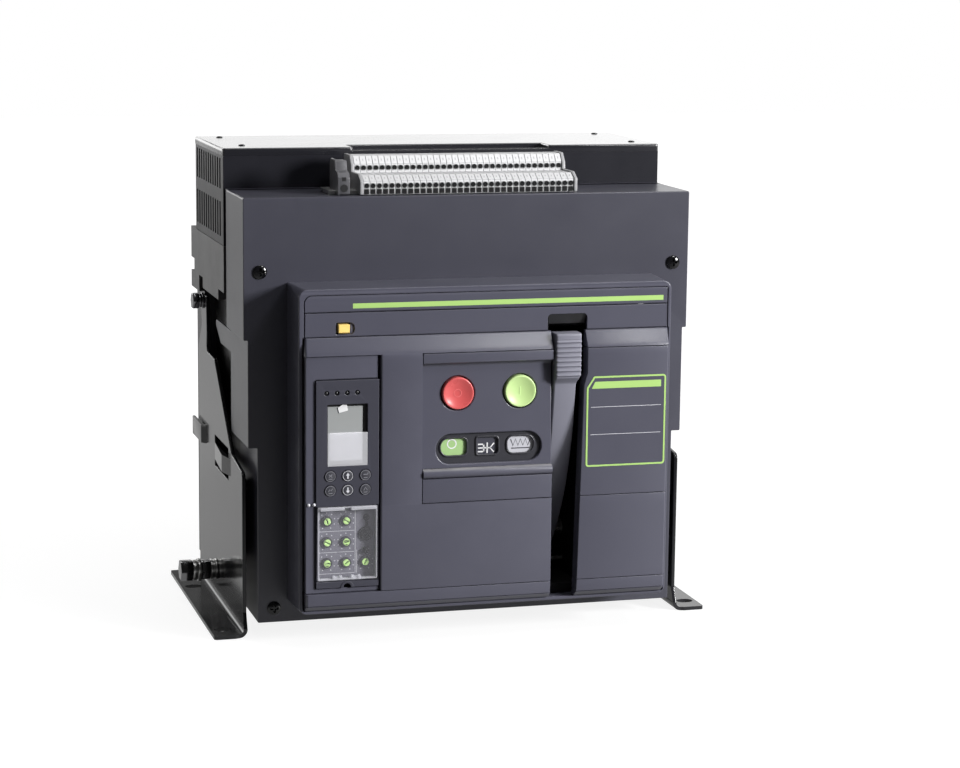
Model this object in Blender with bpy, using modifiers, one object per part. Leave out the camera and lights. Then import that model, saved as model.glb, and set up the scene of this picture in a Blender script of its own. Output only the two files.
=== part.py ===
"""Air circuit breaker, fixed-mounted and three-pole, with rear terminals.

Metres, +Z up, the front faces -Y. The origin lies under the middle of the breaker, on the plane that its
feet stand on. Sizes below are measured from the front plane: x from the middle, y back from the front
frame's face, z up from the feet. One empty carries everything to its place.
"""

import math

import bmesh
import bpy
from mathutils import Matrix, Vector

# Where the front plane stands, so that the origin is in the middle of the depth
FRONT_PLANE_Y = -0.1075
GAP = 0.0003

# Front frame: a stepped shell, half width and top of each step
FRAME_STEPS = ((0.1810, 0.3474), (0.1777, 0.2374), (0.1705, 0.1527))
FRAME_BOTTOM = 0.0130
FRAME_WALL = 0.003
FRAME_DEPTH = 0.073
LEDGE_DEPTH = 0.0789
FRAME_WINDOW = ((-0.140, 0.036), (0.145, 0.276))
# Lugs of the frame that lie beside the base: length along the top, along the bottom, and heights
LUG_TOP_BACK, LUG_BOTTOM_BACK = 0.152, 0.120
LUG_LOW, LUG_HIGH = 0.2172, 0.2342

# Front panel: a rim plane with a raised main field
PANEL_LOW, PANEL_HIGH = (-0.1465, 0.0297), (0.1508, 0.2820)
PANEL_RADIUS = 0.010
RIM_Y = -0.046
FIELD_Y = -0.054
FIELD_LEFT, FIELD_RIGHT = -0.1432, 0.1472
PANEL_BACK_WALL_Y = -0.042
PANEL_SIDE_WALL = 0.0035
CONTROL_RECESS_LEFT, CONTROL_RECESS_RIGHT = -0.0530, 0.0505
CONTROL_RECESS_LOW, CONTROL_RECESS_HIGH = 0.1385, 0.2240

# Controls on the panel
BUTTON_RADIUS = 0.0129
BUTTON_Z = 0.200
BUTTON_Y = -0.0535
OFF_X, ON_X = -0.024, 0.026
RUNNING_GAP = 0.0005
POCKET_LEFT, POCKET_RIGHT = -0.0405, 0.0444
POCKET_LOW, POCKET_HIGH = 0.1440, 0.1675
POCKET_FLOOR_Y = -0.0465
# Each indicator window's middle and width
FLAG_WINDOWS = {"contact": (-0.0269, 0.0220), "ready": (-0.0004, 0.0180), "charge": (0.0255, 0.0230)}
FLAG_WINDOW_LOW, FLAG_WINDOW_HIGH = 0.1505, 0.1635
FLAG_LOW, FLAG_HIGH = 0.149, 0.179
FLAG_Y = -0.0450
RESET_X, RESET_Z = -0.1125, 0.2516
RESET_WIDTH, RESET_HEIGHT = 0.0098, 0.0076

# Charging handle and the slot that it swings in
HANDLE_PIVOT = (0.015, 0.075)
HANDLE_LEFT, GRIP_RIGHT, ARM_RIGHT = 0.0536, 0.0744, 0.0719
GRIP_TOP, GRIP_BOTTOM = 0.2450, 0.2070
GRIP_FRONT, GRIP_BACK = -0.0570, -0.0400
RIB_COUNT = 9
RIB_TOP, RIB_BOTTOM = 0.2360, 0.2120
RIB_DEPTH = 0.0011
PIN_RADIUS = 0.006

# Trip unit with its keys, dials and clear cover
UNIT_LOW, UNIT_HIGH = (-0.1355, 0.0516), (-0.0862, 0.2132)
UNIT_FRONT_Y, UNIT_BACK_Y = -0.053, -0.012
WINDOW_LOW, WINDOW_HIGH = (-0.1266, 0.1474), (-0.0952, 0.1940)
WINDOW_FLOOR_Y = -0.0505
NOTCH_SIDE, NOTCH_FLOOR_Y = 0.004, -0.0485
KEY_COLUMNS = (-0.1244, -0.1108, -0.0970)
KEY_ROWS = (0.1393, 0.1281)
KEY_RADIUS = 0.0042
DIAL_COLUMNS = (-0.1254, -0.1104, -0.0954)
DIAL_ROWS = (0.1027, 0.0861, 0.0696)
DIAL_RADIUS = 0.0043
DIAL_FLOOR_Y = -0.045
DIAL_WELL_LOW, DIAL_WELL_HIGH = (-0.1347, 0.0566), (-0.0870, 0.1156)
TEST_BUTTON, TEST_BUTTON_RADIUS = (-0.0954, 0.0778), 0.0024
TEST_PORT, TEST_PORT_RADIUS = (-0.0954, 0.0905), 0.0030
COVER_PIVOT = (-0.0515, 0.0590)
COVER_THICKNESS = 0.0016

# Side plates and their feet
PLATE_INNER, PLATE_OUTER = 0.1776, 0.1806
PLATE_FRONT, PLATE_BACK = 0.0112, 0.2115
FOOT_OUTER = 0.2042
FOOT_FRONT, FOOT_BACK = 0.0050, 0.2260
# The foot's inner front corner, cut away in a curve up to the upright's front edge
FOOT_CORNER = ((0.1790, 0.0078), (0.1812, 0.0058), (0.1842, FOOT_FRONT))
FOOT_THICKNESS = 0.003
FOOT_SLOT_X = 0.1943
FOOT_SLOT_ROWS = (0.0243, 0.1663)
FOOT_SLOT_LENGTH, FOOT_SLOT_WIDTH = 0.0138, 0.0110
EARTH_BOLT = (0.1280, 0.0268)
# Lugs that stand out of each plate: lower front corner, upper back corner, and how far out they reach
PLATE_LUGS = (((0.184, 0.123), (0.2255, 0.139), 0.184), ((0.081, 0.1185), (0.134, 0.1325), 0.1836))

# Moulded base and the arc chambers above it
BASE_FRONT, BASE_SPLIT, BASE_BACK = 0.0795, 0.1970, 0.2360
BASE_BOTTOM, BASE_SHOULDER, BASE_TOP = 0.018, 0.250, 0.3015
BASE_BACK_WALL = 0.214
FRONT_BASE_HALF_WIDTH = 0.168
REAR_BASE_HALF_WIDTH = 0.1773
# The shoulders carry the chambers: lower edges of the front half, and a notch in the rear half's back
SHOULDER_LOW, SHOULDER_STEP = 0.2552, 0.2640
SHOULDER_STEP_FRONT, SHOULDER_STEP_BACK, SHOULDER_CUT_X = 0.105, 0.179, 0.1760
REAR_NOTCH_FRONT, REAR_NOTCH_LOW, REAR_NOTCH_HIGH = 0.221, 0.2640, 0.2752
CHAMBER_FRONT_WALL = 0.0125
CHAMBER_HALF_WIDTH = 0.047
CHAMBER_FLOOR = 0.062
HOUSING_HALF_WIDTH = 0.182
HOUSING_FRONT, HOUSING_BACK = 0.0792, 0.2108
HOUSING_BOTTOM, HOUSING_TOP = 0.3018, 0.3730
HOUSING_WALL = 0.003
BARRIER_MIDDLE, BARRIER_THICKNESS = 0.0575, 0.004
COVER_TOP = 0.3792
COVER_RECESS_LEFT, COVER_RECESS_RIGHT = -0.077, 0.087
COVER_RECESS_BACK, COVER_RECESS_DEPTH = 0.034, 0.003
VENT_COUNT = 11
VENT_WIDTH = 0.0052
VENT_FRONT, VENT_BACK = 0.0885, 0.2065
VENT_ROWS = ((0.308, 0.336), (0.346, 0.3705))

# Poles: current path and mechanism
POLES = {"left": -0.115, "centre": 0.0, "right": 0.115}
BAR_HALF_WIDTH = 0.0375
BAR_THICKNESS = 0.016
LINE_BAR_Z, LOAD_BAR_Z = 0.237, 0.097
TERMINAL_END = 0.272
TERMINAL_HOLE_X, TERMINAL_HOLE_Y = 0.018, 0.254
TERMINAL_HOLE_RADIUS = 0.0065
CONTACT_PIVOT = (0.160, 0.135)
CONTACT_PIN_RADIUS = 0.005
CONTACT_OPEN_ANGLE = math.radians(25)
SHAFT_AXIS = (0.050, 0.155)
SHAFT_RADIUS = 0.0085
SHAFT_HALF_LENGTH = 0.160
LEVER_LENGTH = 0.025
LEVER_OPEN_ANGLE = math.radians(25)
LINK_PIN_RADIUS = 0.004
LINK_SLOT_LEFT, LINK_SLOT_RIGHT = 0.002, 0.016
LINK_SLOT_LOW, LINK_SLOT_HIGH = 0.160, 0.195
MECHANISM_LEFT, MECHANISM_RIGHT = -0.070, 0.085
MECHANISM_BOTTOM, MECHANISM_FLOOR = 0.0490, 0.0520
SHEET = 0.003

# Control terminals on the top ledge
BLOCK_LEFT, BLOCK_RIGHT = -0.0885, 0.0885
RAIL_LOW, RAIL_HIGH = 0.3477, 0.3505
STOP_LEFT, STOP_RIGHT = -0.1085, -0.0965


def finish(name, colour, roughness, metallic=0.0):
    """A material with this linear colour."""
    material = bpy.data.materials.new(name)
    material.use_nodes = True
    shader = material.node_tree.nodes["Principled BSDF"]
    shader.inputs["Base Color"].default_value = (*colour, 1.0)
    shader.inputs["Roughness"].default_value = roughness
    shader.inputs["Metallic"].default_value = metallic
    return material


def clear_scene():
    for thing in list(bpy.data.objects):
        bpy.data.objects.remove(thing, do_unlink=True)


def new_collection(name):
    collection = bpy.data.collections.new(name)
    bpy.context.scene.collection.children.link(collection)
    return collection


clear_scene()
PARTS = new_collection("air_circuit_breaker")
CUTTERS = new_collection("cutters")
FRONT_PLANE = bpy.data.objects.new("front_plane", None)
FRONT_PLANE.location = (0.0, FRONT_PLANE_Y, 0.0)
PARTS.objects.link(FRONT_PLANE)

CHARCOAL = finish("charcoal_plastic", (0.062, 0.062, 0.074), 0.42)
PANEL_GREY = finish("panel_plastic", (0.095, 0.095, 0.112), 0.45)
BLACK_PLASTIC = finish("black_plastic", (0.012, 0.012, 0.013), 0.35)
PAINTED_STEEL = finish("black_paint", (0.015, 0.015, 0.017), 0.18, 0.2)
ZINC_STEEL = finish("zinc_steel", (0.46, 0.46, 0.47), 0.35, 1.0)
COPPER = finish("plated_copper", (0.62, 0.55, 0.50), 0.30, 1.0)
MOULDED_BASE = finish("base_moulding", (0.050, 0.048, 0.048), 0.55)
RED = finish("red_button", (0.68, 0.060, 0.060), 0.35)
GREEN = finish("green_button", (0.36, 0.72, 0.13), 0.35)
YELLOW = finish("yellow_button", (0.90, 0.62, 0.08), 0.40)
LIME = finish("lime_dial", (0.36, 0.72, 0.13), 0.40)
GREY_TERMINAL = finish("terminal_grey", (0.55, 0.55, 0.54), 0.45)
DISPLAY = finish("display_glass", (0.30, 0.32, 0.32), 0.10)
CLEAR = finish("clear_plastic", (0.60, 0.62, 0.63), 0.08)
WHITE = finish("white_flag", (0.75, 0.75, 0.74), 0.45)
GRIP_GREY = finish("grip_grey", (0.13, 0.13, 0.14), 0.40)


def mesh_from(build):
    """A mesh made by a function that fills an empty bmesh."""
    shape = bmesh.new()
    build(shape)
    mesh = bpy.data.meshes.new("shape")
    shape.to_mesh(mesh)
    shape.free()
    return mesh


def box(low, high):
    """A box between two corners."""
    low, high = Vector(low), Vector(high)

    def build(shape):
        bmesh.ops.create_cube(shape, size=1.0)
        size = Matrix.Diagonal((*(high - low), 1.0))
        shape.transform(Matrix.Translation((low + high) / 2) @ size)

    return mesh_from(build)


def cylinder(axis, centre, radius, start, end, sides=16):
    """A cylinder along X or Y; centre gives the other two coordinates."""
    turn = Matrix.Rotation(math.pi / 2, 4, "Y" if axis == "X" else "X")
    middle = (start + end) / 2
    place = (middle, *centre) if axis == "X" else (centre[0], middle, centre[1])

    def build(shape):
        bmesh.ops.create_cone(
            shape, cap_ends=True, segments=sides, radius1=radius, radius2=radius, depth=end - start
        )
        shape.transform(Matrix.Translation(place) @ turn)

    return mesh_from(build)


# How a flat outline's two directions and its thickness lie in space
PLANES = {
    "XY": Matrix.Identity(3),
    "XZ": Matrix(((1, 0, 0), (0, 0, -1), (0, 1, 0))),
    "YZ": Matrix(((0, 0, 1), (1, 0, 0), (0, 1, 0))),
}


def solid_of_curve(curve):
    """The welded mesh of a curve, which is removed."""
    guide = bpy.data.objects.new("guide", curve)
    bpy.context.scene.collection.objects.link(guide)
    evaluated = guide.evaluated_get(bpy.context.evaluated_depsgraph_get())
    mesh = bpy.data.meshes.new_from_object(evaluated)
    bpy.data.objects.remove(guide)
    shape = bmesh.new()
    shape.from_mesh(mesh)
    bmesh.ops.remove_doubles(shape, verts=shape.verts, dist=1e-6)
    bmesh.ops.recalc_face_normals(shape, faces=shape.faces)
    shape.to_mesh(mesh)
    shape.free()
    return mesh


def flat_solid(points, plane, start, end):
    """A flat outline in a plane, extruded across it from start to end."""
    curve = bpy.data.curves.new("outline", "CURVE")
    curve.dimensions = "2D"
    curve.fill_mode = "BOTH"
    curve.extrude = (end - start) / 2
    spline = curve.splines.new("POLY")
    spline.points.add(len(points) - 1)
    for point, (u, v) in zip(spline.points, points):
        point.co = (u, v, 0.0, 1.0)
    spline.use_cyclic_u = True
    mesh = solid_of_curve(curve)
    turn = PLANES[plane].to_4x4()
    normal = {"XY": Vector((0, 0, 1)), "XZ": Vector((0, 1, 0)), "YZ": Vector((1, 0, 0))}[plane]
    mesh.transform(Matrix.Translation(normal * ((start + end) / 2)) @ turn)
    return mesh


def fillet(points, radius, steps=5):
    """The outline with every corner made an arc of this radius."""
    rounded = []
    for index, point in enumerate(points):
        corner = Vector(point)
        before = (Vector(points[index - 1]) - corner).normalized()
        after = (Vector(points[(index + 1) % len(points)]) - corner).normalized()
        half = before.angle(after) / 2
        reach = radius / math.tan(half)
        centre = corner + (before + after).normalized() * (radius / math.sin(half))
        first = corner + before * reach - centre
        last = corner + after * reach - centre
        for step in range(steps + 1):
            share = step / steps
            rounded.append(centre + (first * (1 - share) + last * share).normalized() * radius)
    return rounded


def rectangle(low, high):
    return [(low[0], low[1]), (high[0], low[1]), (high[0], high[1]), (low[0], high[1])]


def stadium(low, high, steps=6):
    """A rectangle whose short ends are half circles, a hair short of meeting."""
    radius = min(high[0] - low[0], high[1] - low[1]) / 2
    return fillet(rectangle(low, high), radius * 0.98, steps)


def bezier(start, control, end, steps):
    """Points of a quadratic curve, both ends included."""
    points = []
    for step in range(steps + 1):
        t = step / steps
        points.append(
            tuple(
                (1 - t) ** 2 * a + 2 * t * (1 - t) * c + t**2 * b for a, c, b in zip(start, control, end)
            )
        )
    return points


def place(thing, frame, origin=(0.0, 0.0, 0.0)):
    thing.parent = frame
    thing.location = origin


def part(name, mesh, material, origin=(0.0, 0.0, 0.0)):
    """A named sub-part, its mesh in front-plane sizes and its origin where it turns or slides."""
    mesh.transform(Matrix.Translation(-Vector(origin)))
    mesh.name = name
    mesh.materials.clear()
    mesh.materials.append(material)
    thing = bpy.data.objects.new(name, mesh)
    PARTS.objects.link(thing)
    place(thing, FRONT_PLANE, origin)
    return thing


def turned(name, profile, material, origin, turn, steps=16):
    """A profile of (radius, height), from its top down its outer side, spun round its own axis."""
    mesh = bpy.data.meshes.new(name)
    edges = [(index, index + 1) for index in range(len(profile) - 1)]
    mesh.from_pydata([(radius, 0.0, height) for radius, height in profile], edges, [])
    mesh.materials.append(material)
    thing = bpy.data.objects.new(name, mesh)
    PARTS.objects.link(thing)
    place(thing, FRONT_PLANE, origin)
    thing.rotation_euler = turn
    spin = thing.modifiers.new("spin", "SCREW")
    spin.steps = spin.render_steps = steps
    spin.use_merge_vertices = True
    spin.merge_threshold = 1e-5
    return thing


FACING_FRONT = (math.pi / 2, 0.0, 0.0)


def boolean(target, mesh, operation, frame=None):
    """Cuts or joins a shape; frame is what the shape is measured in."""
    helper = bpy.data.objects.new(f"{target.name}_{operation.lower()}_{len(target.modifiers)}", mesh)
    CUTTERS.objects.link(helper)
    place(helper, frame or FRONT_PLANE)
    helper.hide_render = True
    helper.display_type = "WIRE"
    modifier = target.modifiers.new(helper.name, "BOOLEAN")
    modifier.operation = operation
    modifier.object = helper


def cut(target, *meshes, frame=None):
    for mesh in meshes:
        boolean(target, mesh, "DIFFERENCE", frame)


def join(target, *meshes, frame=None):
    for mesh in meshes:
        boolean(target, mesh, "UNION", frame)


def merged(meshes):
    """Separate shapes as one mesh, to cut with in one go."""
    shape = bmesh.new()
    for mesh in meshes:
        shape.from_mesh(mesh)
        bpy.data.meshes.remove(mesh)
    mesh = bpy.data.meshes.new("shapes")
    shape.to_mesh(mesh)
    shape.free()
    return mesh


def both_sides(side, low, high):
    """The lower and the higher of two distances from the middle, on the side given by -1 or 1."""
    return sorted((side * low, side * high))


def side_plate(name, side):
    """A folded plate: an upright with an arm to the base's bolt, and a slotted foot."""
    outline = [
        (PLATE_FRONT, 0.0005),
        (PLATE_FRONT, 0.131),
        (0.0575, 0.1366),
        (0.1345, 0.2018),
        (0.1720, 0.2028),
        (0.1700, 0.2198),
        (0.1720, 0.2488),
        (0.1985, 0.2488),
        (0.1985, 0.2368),
        (0.1935, 0.2228),
        (PLATE_BACK, 0.2028),
        (PLATE_BACK, 0.0005),
    ]
    upright = flat_solid(outline, "YZ", *both_sides(side, PLATE_INNER, PLATE_OUTER))
    thing = part(name, upright, PAINTED_STEEL)
    inner = PLATE_INNER + 0.0005
    foot = [(inner, FOOT_BACK), (inner, PLATE_FRONT), *FOOT_CORNER]
    foot += [(FOOT_OUTER, FOOT_FRONT), (FOOT_OUTER, FOOT_BACK)]
    join(thing, flat_solid([(side * x, y) for x, y in foot], "XY", 0.0, FOOT_THICKNESS))
    low, high = both_sides(
        side, FOOT_SLOT_X - FOOT_SLOT_LENGTH / 2, FOOT_SLOT_X + FOOT_SLOT_LENGTH / 2
    )
    for row in FOOT_SLOT_ROWS:
        half = FOOT_SLOT_WIDTH / 2
        cut(thing, flat_solid(stadium((low, row - half), (high, row + half)), "XY", -0.005, 0.010))
    for (front, bottom), (back, top), reach in PLATE_LUGS:
        inner, outer = both_sides(side, PLATE_INNER + 0.001, reach)
        join(thing, box((inner, front, bottom), (outer, back, top)))


def earth_bolt(name, side):
    """A bolt that stands out of a side plate: washers, nut, washers and head."""
    stack = (
        (0.0086, 0.0018),
        (0.0078, 0.0018),
        (0.0086, 0.0020),
        (0.0080, 0.0077),
        (0.0094, 0.0031),
        (0.0084, 0.0042),
        (0.0080, 0.0102),
    )
    height = 0.0
    profile = [(0.0, height)]
    for radius, length in stack:
        profile += [(radius, height), (radius, height + length)]
        height += length
    profile.append((0.0, height))
    origin = (side * (PLATE_OUTER + GAP), *EARTH_BOLT)
    turned(name, profile[::-1], ZINC_STEEL, origin, (0.0, side * math.pi / 2, 0.0))


def pole_cutters(low_y, high_y):
    """The three pole chambers, from floor to open top, between two depths."""
    half, above = CHAMBER_HALF_WIDTH, BASE_TOP + 0.01
    return [
        box((x - half, low_y, CHAMBER_FLOOR), (x + half, high_y, above)) for x in POLES.values()
    ]


def link_slot(x):
    """The way through the base's front wall for a pole's drive link."""
    low = (x + LINK_SLOT_LEFT, BASE_FRONT - 0.010, LINK_SLOT_LOW)
    return box(low, (x + LINK_SLOT_RIGHT, BASE_FRONT + 0.020, LINK_SLOT_HIGH))


def shoulder_cuts(depths, low, high):
    """What steps or notches take out of the base's shoulders, on both sides, between two heights."""
    cuts = []
    for front, back in depths:
        for side in (-1, 1):
            inner, outer = both_sides(side, SHOULDER_CUT_X, HOUSING_HALF_WIDTH + 0.01)
            cuts.append(box((inner, front, low), (outer, back, high)))
    return cuts


def front_base():
    """Front half of the base: a shouldered block with three chambers, each slotted for its drive link."""
    half = HOUSING_HALF_WIDTH
    shoulder = box((-half, BASE_FRONT, SHOULDER_LOW), (half, BASE_SPLIT, BASE_TOP))
    thing = part("front_base", shoulder, MOULDED_BASE)
    half = FRONT_BASE_HALF_WIDTH
    join(
        thing,
        box((-half, BASE_FRONT + 0.001, BASE_BOTTOM), (half, BASE_SPLIT - 0.001, SHOULDER_STEP + 0.01)),
    )
    steps = (BASE_FRONT - 0.01, SHOULDER_STEP_FRONT), (SHOULDER_STEP_BACK, BASE_SPLIT + 0.01)
    cut(thing, merged(shoulder_cuts(steps, SHOULDER_LOW - 0.01, SHOULDER_STEP)))
    cut(thing, merged(pole_cutters(BASE_FRONT + CHAMBER_FRONT_WALL, BASE_SPLIT + 0.01)))
    cut(thing, merged([link_slot(x) for x in POLES.values()]))


def rear_base():
    """Rear half of the base: a wide-shouldered plate with windows for the terminals."""
    start = BASE_SPLIT + GAP
    half = HOUSING_HALF_WIDTH
    shoulder = box((-half, start, BASE_SHOULDER), (half, BASE_BACK, BASE_TOP))
    thing = part("rear_base", shoulder, MOULDED_BASE)
    half = REAR_BASE_HALF_WIDTH
    join(
        thing,
        box((-half, start + 0.0005, BASE_BOTTOM), (half, BASE_BACK - 0.0005, BASE_SHOULDER + 0.01)),
    )
    notch = ((REAR_NOTCH_FRONT, BASE_BACK + 0.01),)
    cut(thing, merged(shoulder_cuts(notch, REAR_NOTCH_LOW, REAR_NOTCH_HIGH)))
    cut(thing, merged(pole_cutters(start - 0.01, BASE_BACK_WALL)))
    windows = []
    for x in POLES.values():
        for z in (LINE_BAR_Z, LOAD_BAR_Z):
            low = (x - BAR_HALF_WIDTH - 2 * GAP, BASE_BACK_WALL - 0.01, z - 2 * GAP)
            high = (x + BAR_HALF_WIDTH + 2 * GAP, BASE_BACK + 0.01, z + BAR_THICKNESS + 2 * GAP)
            windows.append(box(low, high))
    cut(thing, merged(windows))


def arc_chamber_housing():
    """Open-ended box with a cell for each pole and two rows of vents in each end wall."""
    half = HOUSING_HALF_WIDTH
    block = box((-half, HOUSING_FRONT, HOUSING_BOTTOM), (half, HOUSING_BACK, HOUSING_TOP))
    thing = part("arc_chamber_housing", block, CHARCOAL)
    near, far = BARRIER_MIDDLE - BARRIER_THICKNESS / 2, BARRIER_MIDDLE + BARRIER_THICKNESS / 2
    barriers = (HOUSING_WALL - half, -far, -near, near, far, half - HOUSING_WALL)
    cells = [
        box(
            (left, HOUSING_FRONT + HOUSING_WALL, HOUSING_BOTTOM - 0.01),
            (right, HOUSING_BACK - HOUSING_WALL, HOUSING_TOP + 0.01),
        )
        for left, right in zip(barriers[::2], barriers[1::2])
    ]
    cut(thing, merged(cells))
    pitch = (VENT_BACK - VENT_FRONT) / VENT_COUNT
    vents = []
    for index in range(VENT_COUNT):
        front = VENT_FRONT + pitch * (index + 0.5) - VENT_WIDTH / 2
        for low, high in VENT_ROWS:
            for side in (-1, 1):
                left, right = both_sides(side, half - 2 * HOUSING_WALL, half + HOUSING_WALL)
                vents.append(box((left, front, low), (right, front + VENT_WIDTH, high)))
    cut(thing, merged(vents))


def arc_chamber_cover():
    """Lid of the arc chambers, with a shallow recess behind the control terminals."""
    thing = part(
        "arc_chamber_cover",
        box(
            (-HOUSING_HALF_WIDTH - 0.0005, HOUSING_FRONT, HOUSING_TOP + GAP),
            (HOUSING_HALF_WIDTH + 0.0005, HOUSING_BACK + 0.0005, COVER_TOP),
        ),
        CHARCOAL,
    )
    low = (COVER_RECESS_LEFT, HOUSING_FRONT - 0.01, COVER_TOP - COVER_RECESS_DEPTH)
    cut(thing, box(low, (COVER_RECESS_RIGHT, HOUSING_FRONT + COVER_RECESS_BACK, COVER_TOP + 0.01)))


def arc_chute(name, x):
    """Splitter plates hanging from a head bar, one comb for a pole."""
    front, back, low, high = 0.096, 0.190, 0.306, 0.369
    plates, thickness, head = 9, 0.0025, 0.006
    pitch = (back - front - thickness) / (plates - 1)
    outline = [(front, high), (back, high)]
    for index in reversed(range(plates)):
        start = front + pitch * index
        outline += [(start + thickness, low), (start, low)]
        if index:
            outline += [(start, high - head), (start - pitch + thickness, high - head)]
    part(name, flat_solid(outline, "YZ", x - 0.044, x + 0.044), ZINC_STEEL)


def frame_outline(inset, bottom):
    """The front frame's stepped outline, drawn in by a wall."""
    right = []
    for index, (half_width, top) in enumerate(FRAME_STEPS):
        floor = FRAME_STEPS[index + 1][1] if index + 1 < len(FRAME_STEPS) else bottom
        lowered = inset if index == 0 else 0.0
        raised = inset if index + 1 < len(FRAME_STEPS) else 0.0
        right += [(half_width - inset, top - lowered), (half_width - inset, floor + raised)]
    for index in range(2, len(right), 2):
        right[index] = (right[index][0], right[index - 1][1])
    return right + [(-x, z) for x, z in reversed(right)]


def front_frame():
    """Stepped shell, open at the back, with a ledge on top, side lugs and a window behind the panel."""
    shell = flat_solid(frame_outline(0.0, FRAME_BOTTOM), "XZ", 0.0, FRAME_DEPTH)
    thing = part("front_frame", shell, CHARCOAL)
    inside = frame_outline(FRAME_WALL, FRAME_BOTTOM + FRAME_WALL)
    cut(thing, flat_solid(inside, "XZ", FRAME_WALL, FRAME_DEPTH + 0.01))
    top_half, top = FRAME_STEPS[0]
    ledge_low = (-top_half, FRAME_DEPTH - 0.005, top - FRAME_WALL + 0.0002)
    join(thing, box(ledge_low, (top_half, LEDGE_DEPTH, top)))
    bottom_half = FRAME_STEPS[-1][0]
    floor_low = (-bottom_half, FRAME_DEPTH - 0.005, FRAME_BOTTOM)
    join(thing, box(floor_low, (bottom_half, LEDGE_DEPTH, FRAME_BOTTOM + FRAME_WALL - 0.0002)))
    lug = [
        (FRAME_DEPTH - 0.006, LUG_LOW),
        (LUG_BOTTOM_BACK, LUG_LOW),
        (LUG_TOP_BACK, LUG_HIGH),
        (FRAME_DEPTH - 0.006, LUG_HIGH),
    ]
    lug_outer = FRAME_STEPS[1][0] - 0.0002
    for side in (-1, 1):
        join(thing, flat_solid(lug, "YZ", *both_sides(side, lug_outer - FRAME_WALL + 0.0004, lug_outer)))
    low, high = FRAME_WINDOW
    cut(thing, box((low[0], -0.01, low[1]), (high[0], FRAME_WALL + 0.005, high[1])))
    # The steps line up left and right, so the filled outline has slivers that the exact solver can't take
    for modifier in thing.modifiers:
        modifier.solver = "MANIFOLD"


def handle_slot():
    """What the handle's slot and the finger pocket above it take out of the panel."""
    front, back = FIELD_Y - 0.01, PANEL_BACK_WALL_Y + 0.01
    slot = [
        (0.0511, 0.0345),
        (0.0729, 0.0345),
        (0.0760, 0.2030),
        (0.0787, 0.2120),
        (0.0787, 0.2470),
        (0.0513, 0.2470),
    ]
    pocket = fillet(rectangle((0.0480, 0.2455), (0.0789, 0.2586)), 0.002, 3)
    return [flat_solid(outline, "XZ", front, back) for outline in (slot, pocket)]


def front_panel():
    """Facia: a rounded rim with a raised field, hollow at the back, cut for all that works through it."""
    thing = part(
        "front_panel",
        flat_solid(fillet(rectangle(PANEL_LOW, PANEL_HIGH), PANEL_RADIUS), "XZ", RIM_Y, -GAP),
        PANEL_GREY,
    )
    field = [(-0.041, 0.2531), (FIELD_Y, 0.2320), (FIELD_Y, 0.0380), (-0.047, 0.0330), (-0.041, 0.0330)]
    join(thing, flat_solid(field, "YZ", FIELD_LEFT, FIELD_RIGHT))
    wall = PANEL_SIDE_WALL
    hollow_low = (PANEL_LOW[0] + wall, PANEL_BACK_WALL_Y, PANEL_LOW[1] + wall)
    cut(thing, box(hollow_low, (PANEL_HIGH[0] - wall, 0.010, PANEL_HIGH[1] - wall)))
    through_front, through_back = FIELD_Y - 0.01, PANEL_BACK_WALL_Y + 0.01
    unit_low, unit_high = (
        (UNIT_LOW[0] - RUNNING_GAP, through_front, UNIT_LOW[1] - RUNNING_GAP),
        (UNIT_HIGH[0] + RUNNING_GAP, through_back, UNIT_HIGH[1] + RUNNING_GAP),
    )
    cut(thing, box(unit_low, unit_high))
    recess = [
        (FIELD_Y - 0.01, CONTROL_RECESS_HIGH),
        (-0.0472, CONTROL_RECESS_HIGH),
        (-0.0508, CONTROL_RECESS_LOW + 0.0035),
        (FIELD_Y - 0.0002, CONTROL_RECESS_LOW),
        (FIELD_Y - 0.01, CONTROL_RECESS_LOW),
    ]
    cut(thing, flat_solid(recess, "YZ", CONTROL_RECESS_LEFT, CONTROL_RECESS_RIGHT))
    holes = [
        cylinder("Y", (x, BUTTON_Z), BUTTON_RADIUS + RUNNING_GAP, through_front, through_back, 24)
        for x in (OFF_X, ON_X)
    ]
    half_width, half_height = RESET_WIDTH / 2 + RUNNING_GAP, RESET_HEIGHT / 2 + RUNNING_GAP
    holes.append(
        box(
            (RESET_X - half_width, through_front, RESET_Z - half_height),
            (RESET_X + half_width, through_back, RESET_Z + half_height),
        )
    )
    cut(thing, merged(holes))
    pocket = stadium((POCKET_LEFT, POCKET_LOW), (POCKET_RIGHT, POCKET_HIGH), 8)
    cut(thing, flat_solid(pocket, "XZ", through_front, POCKET_FLOOR_Y))
    cut(thing, box((-0.0425, POCKET_FLOOR_Y + 0.001, 0.1310), (0.0425, through_back, 0.1840)))
    windows = [
        box(
            (middle - width / 2, POCKET_FLOOR_Y - 0.002, FLAG_WINDOW_LOW),
            (middle + width / 2, POCKET_FLOOR_Y + 0.003, FLAG_WINDOW_HIGH),
        )
        for middle, width in FLAG_WINDOWS.values()
    ]
    cut(thing, merged(windows))
    for shape in handle_slot():
        cut(thing, shape)


def flags():
    """Indicator plates that slide behind the panel's windows."""
    for name, (middle, width) in FLAG_WINDOWS.items():
        material = GREEN if name == "contact" else WHITE
        low = (middle - width / 2 - 0.0012, FLAG_Y, FLAG_LOW)
        high = (middle + width / 2 + 0.0012, FLAG_Y + 0.001, FLAG_HIGH)
        part(f"{name}_flag", box(low, high), material, (middle, FLAG_Y, FLAG_LOW))


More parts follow.
